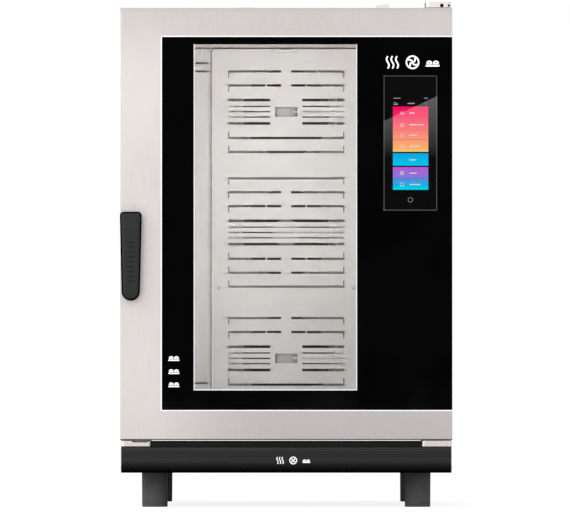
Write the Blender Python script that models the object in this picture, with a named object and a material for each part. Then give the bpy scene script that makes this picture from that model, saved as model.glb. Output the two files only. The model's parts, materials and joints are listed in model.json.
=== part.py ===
"""Combi steamer oven for ten trays: cabinet, cavity, full-width glass door and levelling feet.

Frame: X to the right seen from the front, the door faces -Y, Z up. The origin is on the floor, under
the middle of the footprint. All values are metres.
"""
import math

import bmesh
import bpy
from mathutils import Vector

# ---------------------------------------------------------------- driving dimensions
WIDTH = 0.760
DEPTH = 1.020            # handle face to the rear fittings
GAP = 0.0003             # clearance between pieces that touch
SHEET = 0.0015           # steel sheet of casings

HALF_WIDTH = WIDTH / 2
INSIDE_HALF = HALF_WIDTH - SHEET - GAP
HANDLE_FRONT = -DEPTH / 2
DOOR_FRONT = HANDLE_FRONT + 0.055
DOOR_BACK = DOOR_FRONT + 0.062
CABINET_FRONT = DOOR_BACK + 0.008
REAR_FITTINGS = DEPTH / 2
REAR_FACE = REAR_FITTINGS - 0.0215
REAR_INSIDE = REAR_FACE - SHEET

LEG_TOP = 0.079
CHASSIS_BOTTOM = LEG_TOP + GAP
TRIM_TOP = 0.1377
SILL = 0.1385            # underside of the front frame, top of the chassis
DOOR_BOTTOM = 0.1545
DOOR_TOP = 1.1432
ROOF_TOP = 1.1437
SKIRT_BOTTOM = 1.1280    # lower edge of the roof's folded skirt

LEG_X = 0.302
LEG_YS = {"front": -0.345, "rear": 0.425}
LEG_RADIUS = 0.030
FOOT_PAD = 0.0062

# ---------------------------------------------------------------- cavity
CAVITY_HALF = 0.250
CAVITY_FLOOR = 0.200
CAVITY_TOP = 1.080
CAVITY_BACK = 0.375
BAFFLE_FRONT = 0.275
BAFFLE_HALF = 0.178
JACKET_BACK = 0.400
JACKET_HALF = 0.300
JACKET_BOTTOM = 0.156
JACKET_TOP = 1.122

FAN_HEIGHTS = {"upper": 0.928, "middle": 0.641, "lower": 0.342}
FAN_RADIUS = 0.104
SHAFT_RADIUS = 0.006
HEATER_RADIUS = 0.124
HEATER_TUBE = 0.004
HEATER_LEG_TURN = math.radians(14)    # half the angle between the two heater legs

INJECTOR_X = 0.150
INJECTOR_FEED_Z = 0.500
CHIMNEY = (-0.100, 0.330)
CHIMNEY_BORE = 0.020
CHIMNEY_OUTER = 0.0218
DAMPER_Z = 1.1600
DAMPER_PIN = 0.0020
DRAIN = (0.0, 0.0)
DRAIN_BORE = 0.0185
DRAIN_OUTER = 0.0210
DRAIN_OUTLET_Z = 0.112

RACK_LEVELS = 10
RACK_PITCH = 0.080
RACK_FIRST = 0.262
RACK_LEDGE = 0.0260

SLOT_REACH = 0.138       # half the width of a group of baffle slots
SLOT_LEG = 0.012
SLOT_LEG_WIDTH = 0.0026
LONG_SLOT_HALF = 0.0027
CENTRE_TAB = (0.0, 0.012)
SIDE_TABS = ((-0.0475, 0.002), (0.0475, 0.002))

# ---------------------------------------------------------------- fittings on the casing
VENT_COWL = (0.230, 0.440)       # x, y on the roof
INLET_VALVE = (0.300, 0.200)     # x, z on the rear panel, as for the next two
CABLE_ENTRY = (-0.300, 0.200)
COOLING_FAN = (0.300, 0.800)
INLET_RADIUS = 0.0100
VALVE_TOP = 0.230
FEED_Y = 0.440                   # plane of the water pipe behind the cavity
GLAND_RADIUS = 0.0120

# ---------------------------------------------------------------- door
GLASS_LEFT = -0.2844
GLASS_BOTTOM = 0.2230
GLASS_TOP = 1.0765
WINDOW = (-0.2122, 0.2661, 0.1655, 1.0607)
SCREEN = (0.2226, 0.6789, 0.3456, 0.9888)
SKIN_DEPTH = 0.0247
OUTER_PANE = 0.006
HINGE_X = 0.357
HINGE_Y = DOOR_FRONT + 0.0125
HINGE_TOP = 1.1570
PIN_RADIUS = 0.005
BRACKET_LOW = 0.1392     # door rest and lower hinge bracket
BRACKET_HIGH = 0.1530
HANDLE_X = -0.3548
HANDLE_PIVOT_Z = 0.645
SPINDLE_RADIUS = 0.006

# ---------------------------------------------------------------- looks: colour, roughness, metallic
LOOKS = {
    "steel": ((0.80, 0.77, 0.75), 0.32, 1.0),
    "bright_steel": ((0.86, 0.84, 0.82), 0.25, 1.0),
    "galvanised": ((0.60, 0.61, 0.62), 0.50, 1.0),
    "dark_steel": ((0.16, 0.16, 0.16), 0.45, 0.9),
    "black_plastic": ((0.020, 0.020, 0.022), 0.40, 0.0),
    "grey_plastic": ((0.055, 0.058, 0.060), 0.55, 0.0),
    "foot_plastic": ((0.075, 0.075, 0.075), 0.50, 0.0),
    "black_glass": ((0.004, 0.004, 0.005), 0.04, 0.0),
    "clear_glass": ((0.85, 0.92, 0.90), 0.03, 0.0),
    "rubber": ((0.030, 0.030, 0.032), 0.70, 0.0),
    "insulation": ((0.62, 0.56, 0.40), 0.95, 0.0),
    "board": ((0.05, 0.22, 0.10), 0.60, 0.0),
    "brass": ((0.70, 0.52, 0.22), 0.35, 1.0),
    "led": ((0.95, 0.93, 0.85), 0.30, 0.0),
}


def look_material(look):
    """The Principled material of one entry of LOOKS, made once."""
    if look in bpy.data.materials:
        return bpy.data.materials[look]
    colour, roughness, metallic = LOOKS[look]
    material = bpy.data.materials.new(look)
    material.use_nodes = True
    shader = material.node_tree.nodes["Principled BSDF"]
    shader.inputs["Base Color"].default_value = (*colour, 1.0)
    shader.inputs["Roughness"].default_value = roughness
    shader.inputs["Metallic"].default_value = metallic
    return material


# ---------------------------------------------------------------- modelling helpers
def solid(name, bm, look):
    """Turn a closed bmesh into a named object with outward faces and smooth round stretches."""
    bmesh.ops.recalc_face_normals(bm, faces=bm.faces)
    mesh = bpy.data.meshes.new(name)
    bm.to_mesh(mesh)
    bm.free()
    mesh.shade_smooth()
    mesh.set_sharp_from_angle(angle=math.radians(32))
    mesh.materials.append(look_material(look))
    obj = bpy.data.objects.new(name, mesh)
    bpy.context.scene.collection.objects.link(obj)
    return obj


def place(u, v, axis, level):
    """Point of a flat outline: (x, y) on a z level, (x, z) on a y level, (y, z) on an x level."""
    if axis == "z":
        return (u, v, level)
    if axis == "y":
        return (u, level, v)
    return (level, u, v)


def ring(bm, outline, axis, level):
    return [bm.verts.new(place(u, v, axis, level)) for u, v in outline]


def wall(bm, first, second):
    """Quads between two rings with the same number of points."""
    count = len(first)
    for i in range(count):
        j = (i + 1) % count
        bm.faces.new((first[i], first[j], second[j], second[i]))


def cap(bm, rings):
    """Flat face over the first ring, with the other rings as holes in it."""
    if len(rings) == 1:
        bm.faces.new(rings[0])
        return
    edges = []
    for verts in rings:
        for i, vert in enumerate(verts):
            pair = (vert, verts[(i + 1) % len(verts)])
            edges.append(bm.edges.get(pair) or bm.edges.new(pair))
    bmesh.ops.triangle_fill(bm, edges=edges, use_beauty=True)


def add_loft(bm, sections, axis):
    """A solid between two (outline, level) sections that have the same number of points."""
    first, second = [ring(bm, outline, axis, level) for outline, level in sections]
    cap(bm, [first])
    cap(bm, [second])
    wall(bm, first, second)


def prism(name, look, outline, axis, low, high, holes=()):
    """A flat outline with holes, extruded along an axis."""
    bm = bmesh.new()
    lower = [ring(bm, line, axis, low) for line in (outline, *holes)]
    upper = [ring(bm, line, axis, high) for line in (outline, *holes)]
    cap(bm, lower)
    cap(bm, upper)
    for first, second in zip(lower, upper):
        wall(bm, first, second)
    return solid(name, bm, look)


def tray(name, look, outer, inner, axis, face, floor, rim, holes=()):
    """A pan: closed at face, hollow from rim to floor, with holes through its flat bottom."""
    bm = bmesh.new()
    outer_face = ring(bm, outer, axis, face)
    outer_rim = ring(bm, outer, axis, rim)
    inner_rim = ring(bm, inner, axis, rim)
    inner_floor = ring(bm, inner, axis, floor)
    face_holes = [ring(bm, line, axis, face) for line in holes]
    floor_holes = [ring(bm, line, axis, floor) for line in holes]
    cap(bm, [outer_face, *face_holes])
    cap(bm, [inner_floor, *floor_holes])
    cap(bm, [outer_rim, inner_rim])
    wall(bm, outer_face, outer_rim)
    wall(bm, inner_rim, inner_floor)
    for first, second in zip(face_holes, floor_holes):
        wall(bm, first, second)
    return solid(name, bm, look)


def turned(name, look, profile, centre, axis, sides=24, bored=False):
    """Revolve (radius, height) points about an axis; a bored profile closes on itself."""
    bm = bmesh.new()
    rings = []
    for radius, height in profile:
        steps = sides if radius > 0 else 1
        points = []
        for i in range(steps):
            angle = 2 * math.pi * i / sides
            across, up = radius * math.cos(angle), radius * math.sin(angle)
            offset = {"x": (height, across, up), "y": (across, height, up), "z": (across, up, height)}
            points.append(bm.verts.new(Vector(centre) + Vector(offset[axis])))
        rings.append(points)
    pairs = list(zip(rings, rings[1:]))
    if bored:
        pairs.append((rings[-1], rings[0]))
    for first, second in pairs:
        if len(first) == 1 or len(second) == 1:
            pole, rim = (first[0], second) if len(first) == 1 else (second[0], first)
            for i in range(sides):
                bm.faces.new((pole, rim[i], rim[(i + 1) % sides]))
        else:
            wall(bm, first, second)
    return solid(name, bm, look)


def bent_path(corners, radius, steps=4):
    """Points of a polyline whose corners are rounded with arcs of about the given radius."""
    points = [Vector(corners[0])]
    for before, corner, after in zip(corners, corners[1:], corners[2:]):
        corner = Vector(corner)
        start = corner + (Vector(before) - corner).normalized() * radius
        end = corner + (Vector(after) - corner).normalized() * radius
        for i in range(steps + 1):
            t = i / steps
            points.append((1 - t) ** 2 * start + 2 * t * (1 - t) * corner + t ** 2 * end)
    points.append(Vector(corners[-1]))
    return points


def tube(name, look, path, radius, sides=8, bore=0.0):
    """A round tube swept along a path without twist; bore is its inner radius, 0 for a solid rod."""
    points = [Vector(point) for point in path]
    steps = [(b - a).normalized() for a, b in zip(points, points[1:])]
    tangents = [steps[0]] + [(a + b).normalized() for a, b in zip(steps, steps[1:])] + [steps[-1]]
    normal = tangents[0].orthogonal().normalized()
    bm = bmesh.new()
    outer, inner = [], []
    for i, (point, tangent) in enumerate(zip(points, tangents)):
        if i > 0:
            normal = tangents[i - 1].rotation_difference(tangent) @ normal
        side = tangent.cross(normal)
        angles = [2 * math.pi * k / sides for k in range(sides)]
        arms = [normal * math.cos(angle) + side * math.sin(angle) for angle in angles]
        outer.append([bm.verts.new(point + arm * radius) for arm in arms])
        if bore > 0:
            inner.append([bm.verts.new(point + arm * bore) for arm in arms])
    for first, second in zip(outer, outer[1:]):
        wall(bm, first, second)
    for first, second in zip(inner, inner[1:]):
        wall(bm, first, second)
    for end in (0, -1):
        if bore > 0:
            wall(bm, outer[end], inner[end])
        else:
            cap(bm, [outer[end]])
    return solid(name, bm, look)


def boolean(target, operation, tools):
    """Apply a Boolean of the target with each tool, then remove the tools."""
    for tool in tools:
        modifier = target.modifiers.new(operation, "BOOLEAN")
        modifier.operation = operation
        modifier.solver = "EXACT"
        modifier.object = tool
    evaluated = target.evaluated_get(bpy.context.evaluated_depsgraph_get())
    mesh = bpy.data.meshes.new_from_object(evaluated)
    target.modifiers.clear()
    target.data = mesh
    mesh.name = target.name
    for tool in tools:
        bpy.data.objects.remove(tool, do_unlink=True)
    return target


def soften(obj, width, segments=2):
    """Round the edges of a piece with a Bevel modifier."""
    bevel = obj.modifiers.new("soft_edges", "BEVEL")
    bevel.width = width
    bevel.segments = segments
    bevel.limit_method = "ANGLE"
    bevel.angle_limit = math.radians(35)
    bevel.harden_normals = False
    return obj


def rectangle(u0, v0, u1, v1):
    return [(u0, v0), (u1, v0), (u1, v1), (u0, v1)]


def inset(outline, amount):
    """A rectangle made smaller by the same amount on each side."""
    (u0, v0), (u1, v1) = outline[0], outline[2]
    return rectangle(u0 + amount, v0 + amount, u1 - amount, v1 - amount)


def arc(u, v, radius, start, end, steps):
    """Points of an arc, angles in degrees."""
    angles = [math.radians(start + (end - start) * i / steps) for i in range(steps + 1)]
    return [(u + radius * math.cos(angle), v + radius * math.sin(angle)) for angle in angles]


def rounded(u0, v0, u1, v1, radius, steps=4):
    """A rectangle with quarter-circle corners."""
    corners = [(u1 - radius, v1 - radius), (u0 + radius, v1 - radius),
               (u0 + radius, v0 + radius), (u1 - radius, v0 + radius)]
    outline = []
    for quarter, (u, v) in enumerate(corners):
        outline += arc(u, v, radius, 90 * quarter, 90 * quarter + 90, steps)
    return outline


def circle(u, v, radius, sides=20):
    angles = [2 * math.pi * i / sides for i in range(sides)]
    return [(u + radius * math.cos(angle), v + radius * math.sin(angle)) for angle in angles]


def rod(axis, centre, radius, low, high, sides=20):
    """A plain cylinder along an axis, used as a cutter or as a lug to be joined on."""
    return prism("tool", "steel", circle(*centre, radius, sides), axis, low, high)


def block(look, outline, axis, low, high):
    """A plain extrusion, used as a cutter or as a lump to be joined on."""
    return prism("tool", look, outline, axis, low, high)


# ---------------------------------------------------------------- base and feet
def make_base_chassis():
    """Base pan of the cabinet, with air slots in its floor and a hole for the drain pipe."""
    plate, back = 0.002, REAR_INSIDE - 0.0025
    outer = rectangle(-INSIDE_HALF, CABINET_FRONT + SHEET + GAP, INSIDE_HALF, back)
    vent_half, vent_front, vent_back = 0.030, 0.300, 0.306
    vents = [rounded(x - vent_half, vent_front, x + vent_half, vent_back, 0.0029, 2)
             for x in (-0.18, -0.09, 0.09, 0.18)]
    chassis = tray("base_chassis", "galvanised", outer, inset(outer, plate), "z",
                   CHASSIS_BOTTOM, CHASSIS_BOTTOM + plate, SILL - 0.0005, vents)
    drain_hole = rod("y", (DRAIN[0], DRAIN_OUTLET_Z), DRAIN_OUTER + 0.0015, back - 0.010, back + 0.010)
    return boolean(chassis, "DIFFERENCE", [drain_hole])


def make_front_base_trim():
    """Black moulding under the door, with a bulged front and three fine grooves."""
    back, half_width = CABINET_FRONT + SHEET, 0.3776
    bottom, height = LEG_TOP + 0.0001, TRIM_TOP - LEG_TOP
    face, bulge = DOOR_FRONT + 0.010, 0.012

    def front(t):
        """Point of the bulged face, t from 0 at the bottom to 1 at the top."""
        return (face - bulge * math.sin(math.pi * (0.15 + 0.70 * t)), bottom + t * height)

    groove_half, groove_depth = 0.012, 0.0012
    outline = [(back, bottom)]
    outline += [front(i / 10) for i in range(7)]
    for t in (0.67, 0.73, 0.79):
        (y0, z0), (y1, z1) = front(t - groove_half), front(t + groove_half)
        outline += [(y0, z0), (y0 + groove_depth, z0), (y1 + groove_depth, z1), (y1, z1)]
    outline += [front(0.85), front(0.93), front(1.0), (back, bottom + height)]
    return prism("front_base_trim", "black_plastic", outline, "x", -half_width, half_width)


def make_legs():
    """Four plastic leg sleeves, each with a foot that screws down out of it."""
    bore, stem, stem_top = 0.012, 0.0105, 0.060
    pad, low = LEG_RADIUS - 0.001, FOOT_PAD + GAP
    sleeve = [(bore, low), (LEG_RADIUS - 0.0005, low), (LEG_RADIUS, LEG_TOP), (bore, LEG_TOP)]
    foot = [(0.0, 0.0), (pad - 0.0015, 0.0), (pad, 0.0015), (pad, FOOT_PAD), (stem, FOOT_PAD),
            (stem, stem_top), (0.0, stem_top)]
    for row, y in LEG_YS.items():
        for side, x in (("left", -LEG_X), ("right", LEG_X)):
            turned(f"leg_sleeve_{row}_{side}", "foot_plastic", sleeve, (x, y, 0.0), "z", 20, bored=True)
            turned(f"foot_{row}_{side}", "foot_plastic", foot, (x, y, 0.0), "z", 20)


# ---------------------------------------------------------------- outer casing
def make_side_panels():
    """Flat side sheets with a flange folded inwards at the rear."""
    front, back, flange = CABINET_FRONT, REAR_INSIDE - GAP, 0.015
    for side, sign in (("left", -1), ("right", 1)):
        outer, inner = sign * HALF_WIDTH, sign * (HALF_WIDTH - SHEET)
        tip = sign * (HALF_WIDTH - flange)
        outline = [(outer, front), (inner, front), (inner, back - SHEET), (tip, back - SHEET),
                   (tip, back), (outer, back)]
        prism(f"side_panel_{side}", "steel", outline, "z", CHASSIS_BOTTOM, SKIRT_BOTTOM - GAP)


def make_roof_panel():
    """Roof sheet with a folded skirt, and holes for the steam exhaust and the vent."""
    outer = rectangle(-HALF_WIDTH, CABINET_FRONT, HALF_WIDTH, REAR_FACE)
    exhaust_hole, vent_hole = circle(*CHIMNEY, CHIMNEY_OUTER + 0.0007, 24), circle(*VENT_COWL, 0.010, 12)
    return tray("roof_panel", "steel", outer, inset(outer, SHEET), "z",
                ROOF_TOP, ROOF_TOP - SHEET, SKIRT_BOTTOM, [exhaust_hole, vent_hole])


def louvres(x, z, reach, rows=5, pitch=0.016, half=0.0025):
    """Outlines of a block of ventilation slots centred on (x, z)."""
    levels = [z + (row - (rows - 1) / 2) * pitch for row in range(rows)]
    return [rectangle(x - reach, level - half, x + reach, level + half) for level in levels]


def make_rear_panel():
    """Rear sheet with louvres for each fan motor and for the electronics, and holes for the fittings."""
    outline = rectangle(-HALF_WIDTH, CHASSIS_BOTTOM, HALF_WIDTH, SKIRT_BOTTOM - GAP)
    motor_reach, board_reach, room = 0.060, 0.045, 0.0010
    holes = []
    for height in FAN_HEIGHTS.values():
        holes += louvres(0.0, height, motor_reach)
    holes += louvres(*COOLING_FAN, board_reach)
    holes.append(circle(*INLET_VALVE, INLET_RADIUS + room, 16))
    holes.append(circle(*CABLE_ENTRY, GLAND_RADIUS + room, 16))
    holes.append(circle(DRAIN[0], DRAIN_OUTLET_Z, DRAIN_OUTER + room, 20))
    return prism("rear_panel", "steel", outline, "y", REAR_INSIDE, REAR_FACE, holes)


def latch_slot():
    """Outline of the slot that the latch hook enters."""
    left, right, half = HANDLE_X - 0.010, HANDLE_X + 0.036, 0.010
    return rounded(left, HANDLE_PIVOT_Z - half, right, HANDLE_PIVOT_Z + half, 0.004, 3)


def make_front_frame():
    """Folded front frame with the cavity opening and the slot for the latch."""
    outer = rectangle(-INSIDE_HALF, SILL, INSIDE_HALF, SKIRT_BOTTOM - GAP)
    opening = rectangle(-CAVITY_HALF, CAVITY_FLOOR, CAVITY_HALF, CAVITY_TOP)
    fold = 0.025
    return tray("front_frame", "steel", outer, inset(outer, SHEET), "y",
                CABINET_FRONT, CABINET_FRONT + SHEET, CABINET_FRONT + fold, [opening, latch_slot()])


def make_latch_striker():
    """Wear plate behind the latch slot, which the latch hook pulls against."""
    front, thickness = CABINET_FRONT + SHEET + GAP, 0.004
    x, z = HANDLE_X, HANDLE_PIVOT_Z
    outline = rectangle(x - 0.018, z - 0.042, x + 0.050, z + 0.026)
    return prism("latch_striker", "bright_steel", outline, "y", front, front + thickness, [latch_slot()])


# ---------------------------------------------------------------- cavity and insulation
def cavity_openings(room, chimney, drain):
    """Cutters for everything that passes through the cavity's wall or its insulation."""
    back = (CAVITY_BACK - 0.010, JACKET_BACK + 0.010)
    shaft, leg, feed = 0.010 + room, 0.006 + room, 0.005 + room
    cutters = [rod("y", (INJECTOR_X, INJECTOR_FEED_Z), feed, *back, 10),
               rod("z", CHIMNEY, chimney, CAVITY_TOP - 0.010, ROOF_TOP - 0.004, 20),
               rod("z", DRAIN, drain, JACKET_BOTTOM - 0.006, CAVITY_FLOOR + 0.010, 16)]
    leg_reach = HEATER_RADIUS * math.sin(HEATER_LEG_TURN)
    leg_drop = HEATER_RADIUS * math.cos(HEATER_LEG_TURN)
    for height in FAN_HEIGHTS.values():
        cutters.append(rod("y", (0.0, height), shaft, *back, 14))
        for x in (-leg_reach, leg_reach):
            cutters.append(rod("y", (x, height - leg_drop), leg, *back, 10))
    return cutters


def make_cavity_liner():
    """Deep-drawn stainless cavity, open at the front."""
    inner = rectangle(-CAVITY_HALF, CAVITY_FLOOR, CAVITY_HALF, CAVITY_TOP)
    liner = tray("cavity_liner", "bright_steel", inset(inner, -SHEET), inner, "y",
                 CAVITY_BACK + SHEET, CAVITY_BACK, CABINET_FRONT + SHEET + GAP)
    return boolean(liner, "DIFFERENCE", cavity_openings(0.0, CHIMNEY_BORE, DRAIN_BORE))


def make_insulation_jacket():
    """Mineral wool around the cavity, with room for the pipes, shafts and heater legs."""
    play = 0.0005
    cavity = rectangle(-CAVITY_HALF, CAVITY_FLOOR, CAVITY_HALF, CAVITY_TOP)
    outer = rectangle(-JACKET_HALF, JACKET_BOTTOM, JACKET_HALF, JACKET_TOP)
    jacket = tray("insulation_jacket", "insulation", outer, inset(cavity, -SHEET - play), "y",
                  JACKET_BACK, CAVITY_BACK + SHEET + play, CABINET_FRONT + 0.006)
    openings = cavity_openings(0.002, CHIMNEY_OUTER + 0.0012, DRAIN_OUTER + 0.0015)
    return boolean(jacket, "DIFFERENCE", openings)


# ---------------------------------------------------------------- fan baffle and air guides
def bracket_slot(height, toward, tabs):
    """A long slot with a short leg at each end that points up or down, bridged by tabs."""
    near, far = height + toward * LONG_SLOT_HALF, height - toward * LONG_SLOT_HALF
    tip = near + toward * SLOT_LEG
    stops = [-SLOT_REACH]
    for centre, half in sorted(tabs):
        stops += [centre - half, centre + half]
    stops.append(SLOT_REACH)
    outlines = []
    for left, right in zip(stops[::2], stops[1::2]):
        outline = [(left, far), (right, far)]
        if right == SLOT_REACH:
            outline += [(right, tip), (right - SLOT_LEG_WIDTH, tip), (right - SLOT_LEG_WIDTH, near)]
        else:
            outline.append((right, near))
        if left == -SLOT_REACH:
            outline += [(left + SLOT_LEG_WIDTH, near), (left + SLOT_LEG_WIDTH, tip), (left, tip)]
        else:
            outline.append((left, near))
        outlines.append(outline)
    return outlines


def baffle_slots():
    """Air inlet slots: one group in front of each fan."""
    inner, middle, outer = 0.0625, 0.0957, 0.1287
    split_once, split_more = (CENTRE_TAB,), (CENTRE_TAB, *SIDE_TABS)
    four_slots = [(middle, split_once), (inner, split_more), (-inner, ()), (-middle, ())]
    six_slots = [(outer, ()), (middle, split_once), (inner, split_more),
                 (-inner, split_more), (-middle, split_once), (-outer, ())]
    long_slots = {"upper": four_slots, "middle": six_slots, "lower": four_slots}
    wide, narrow = 0.0032, 0.0015
    short_slots = [(0.0277, wide), (0.0127, narrow), (0.0, narrow), (-0.0127, narrow), (-0.0277, wide)]
    window_reach, window_half, window_gap = 0.0268, 0.0115, 0.038
    outlines = []
    for name, centre in FAN_HEIGHTS.items():
        for offset, tabs in long_slots[name]:
            toward = -1 if offset > 0 else 1
            outlines += bracket_slot(centre + offset, toward, tabs)
        spans = [(-SLOT_REACH, SLOT_REACH)]
        if name != "middle":
            spans = [(-SLOT_REACH, -window_gap), (window_gap, SLOT_REACH)]
            low, high = centre - window_half, centre + window_half
            outlines.append(rectangle(-window_reach, low, window_reach, high))
        for offset, half in short_slots:
            for left, right in spans:
                outlines.append(rectangle(left, centre + offset - half, right, centre + offset + half))
    return outlines


def make_fan_baffle():
    """Pan-shaped baffle in front of the fans, with its sides folded back."""
    low, high, corner, fold = CAVITY_FLOOR + 0.010, CAVITY_TOP - 0.002, 0.012, 0.010
    outer = rounded(-BAFFLE_HALF, low, BAFFLE_HALF, high, corner)
    inner = rounded(SHEET - BAFFLE_HALF, low + SHEET, BAFFLE_HALF - SHEET, high - SHEET, corner - SHEET)
    return tray("fan_baffle", "bright_steel", outer, inner, "y",
                BAFFLE_FRONT, BAFFLE_FRONT + SHEET, BAFFLE_FRONT + fold, baffle_slots())


def make_air_guides():
    """Plates that close the fan space beside the baffle and steer the air along the cavity walls."""
    slot_heights, slot_half = (1.0440, 1.0245, 0.2830), 0.0023
    slot_near, slot_far = 0.187, 0.216
    front, depth = BAFFLE_FRONT + 0.012, 0.060
    low, high = CAVITY_FLOOR + 0.002, CAVITY_TOP - 0.002
    for side, sign in (("left", -1), ("right", 1)):
        near, far = sign * (BAFFLE_HALF - 0.004), sign * (CAVITY_HALF - 0.001)
        lip = far - sign * SHEET
        outline = [(near, front), (far, front), (far, front + depth), (lip, front + depth),
                   (lip, front + SHEET), (near, front + SHEET)]
        guide = prism(f"air_guide_{side}", "bright_steel", outline, "z", low, high)
        slots = []
        for z in slot_heights:
            opening = rectangle(sign * slot_near, z - slot_half, sign * slot_far, z + slot_half)
            slots.append(block("steel", opening, "y", front - 0.002, front + SHEET + 0.002))
        boolean(guide, "DIFFERENCE", slots)


def make_racks():
    """Ladder racks for ten trays, folded from sheet, standing on the cavity floor."""
    low, high = CAVITY_FLOOR + GAP, 1.060
    front, back = CABINET_FRONT + 0.015, BAFFLE_FRONT - 0.010
    middle, post, rail = (front + back) / 2, 0.022, 0.011
    openings = ((front + post, middle - rail), (middle + rail, back - post))
    opening_low, opening_high = 0.016, RACK_PITCH - 0.014
    levels = [RACK_FIRST + level * RACK_PITCH for level in range(RACK_LEVELS)]
    for side, sign in (("left", -1), ("right", 1)):
        far = sign * (CAVITY_HALF - 0.0025)
        near, tip = far - sign * SHEET, far - sign * RACK_LEDGE
        outline = [(far, low), (near, low)]
        for z in levels:
            outline += [(near, z), (tip, z), (tip, z + SHEET), (near, z + SHEET)]
        outline += [(near, high), (far, high)]
        rack = prism(f"rack_{side}", "bright_steel", outline, "y", front, back)
        windows = []
        for z in levels[:-1]:
            for start, end in openings:
                opening = rectangle(start, z + opening_low, end, z + opening_high)
                windows.append(block("steel", opening, "x", far + sign * 0.005, near - sign * 0.003))
        boolean(rack, "DIFFERENCE", windows)


# ---------------------------------------------------------------- fans, heaters, water and air
def make_fan_wheel(name, height):
    """Centrifugal wheel: a back plate with a hub and straight blades, on the shaft of its motor."""
    front, back, shaft_end = 0.302, 0.3615, 0.4350
    hub_front, hub, plate = 0.330, 0.022, 0.002
    profile = [(0.0, hub_front), (hub, hub_front + 0.002), (hub, back - plate), (FAN_RADIUS, back - plate),
               (FAN_RADIUS, back), (SHAFT_RADIUS, back), (SHAFT_RADIUS, shaft_end), (0.0, shaft_end)]
    wheel = turned(f"fan_wheel_{name}", "dark_steel", profile, (0.0, 0.0, height), "y", 24)
    blades, root, tip, half = 12, 0.058, FAN_RADIUS - 0.001, 0.0008
    bm = bmesh.new()
    for i in range(blades):
        turn = 2 * math.pi * i / blades
        cosine, sine = math.cos(turn), math.sin(turn)
        outline = [(out * cosine - across * sine, height + out * sine + across * cosine)
                   for out, across in rectangle(root, -half, tip, half)]
        add_loft(bm, [(outline, front), (outline, back - 0.001)], "y")
    return boolean(wheel, "UNION", [solid("tool", bm, "dark_steel")])


def make_fan_motor(name, height):
    """Motor behind the cavity, with a flange and a blind bore for the fan shaft."""
    start, end, blind = JACKET_BACK + GAP, 0.480, 0.440
    bore, body, flange, flange_end = SHAFT_RADIUS + 0.0015, 0.052, 0.066, JACKET_BACK + 0.0043
    profile = [(0.0, blind), (bore, blind), (bore, start), (flange, start), (flange, flange_end),
               (body, flange_end), (body, end - 0.010), (body - 0.012, end), (0.0, end)]
    return turned(f"fan_motor_{name}", "galvanised", profile, (0.0, 0.0, height), "y", 20)


def make_heating_element(name, height):
    """A tubular heater of two turns around a fan, its legs going out through the rear wall."""
    turns, per_turn, front, pitch = 2, 20, 0.312, 0.014
    back, leg_end, bend = front + turns * pitch, JACKET_BACK + 0.006, 0.010
    start = HEATER_LEG_TURN - math.pi / 2
    end = 2 * math.pi * turns - math.pi / 2 - HEATER_LEG_TURN

    def at(angle, y):
        """Point of the heater's winding cylinder."""
        return (HEATER_RADIUS * math.cos(angle), y, height + HEATER_RADIUS * math.sin(angle))

    count = turns * per_turn
    winding = []
    for i in range(count + 1):
        t = i / count
        winding.append(at(start + (end - start) * t, front + (back - front) * t))
    lead_in = bent_path([at(start, leg_end), at(start, front), winding[2]], bend, 3)
    lead_out = bent_path([winding[-3], at(end, back), at(end, leg_end)], bend, 3)
    course = lead_in[:-1] + winding[3:-3] + lead_out[1:]
    return tube(f"heating_element_{name}", "dark_steel", course, HEATER_TUBE, 6)


def make_water_injector():
    """Water pipe from the rear, with a branch to the middle of each fan."""
    y, riser_radius, branch_radius = 0.290, 0.004, 0.003
    low, high = FAN_HEIGHTS["lower"] - 0.008, FAN_HEIGHTS["upper"] + 0.008
    riser_path = [(INJECTOR_X, y, low), (INJECTOR_X, y, high)]
    riser = tube("water_injector", "bright_steel", riser_path, riser_radius, 10)
    branches = []
    for height in FAN_HEIGHTS.values():
        branch_path = [(0.016, y, height), (INJECTOR_X, y, height)]
        branches.append(tube("tool", "bright_steel", branch_path, branch_radius, 8))
    valve_x = INLET_VALVE[0]
    feed = [(INJECTOR_X, y, INJECTOR_FEED_Z), (INJECTOR_X, FEED_Y, INJECTOR_FEED_Z),
            (valve_x, FEED_Y, INJECTOR_FEED_Z - 0.060), (valve_x, FEED_Y, VALVE_TOP + 2 * GAP)]
    branches.append(tube("tool", "bright_steel", bent_path(feed, 0.018), branch_radius, 8))
    return boolean(riser, "UNION", branches)


def make_water_inlet_valve():
    """Solenoid valve inside the rear panel with its threaded inlet outside."""
    x, z = INLET_VALVE
    half_width, half_height, coil_radius = 0.018, 0.014, 0.016
    outline = rounded(x - half_width, z - half_height, x + half_width, z + half_height, 0.004, 3)
    body = prism("water_inlet_valve", "brass", outline, "y", FEED_Y - 0.020, REAR_INSIDE - 0.0005)
    coil = rod("z", (x, FEED_Y), coil_radius, z + 0.010, VALVE_TOP)
    inlet = rod("y", (x, z), INLET_RADIUS, REAR_INSIDE - 0.004, REAR_FITTINGS)
    return boolean(body, "UNION", [coil, inlet])


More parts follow.
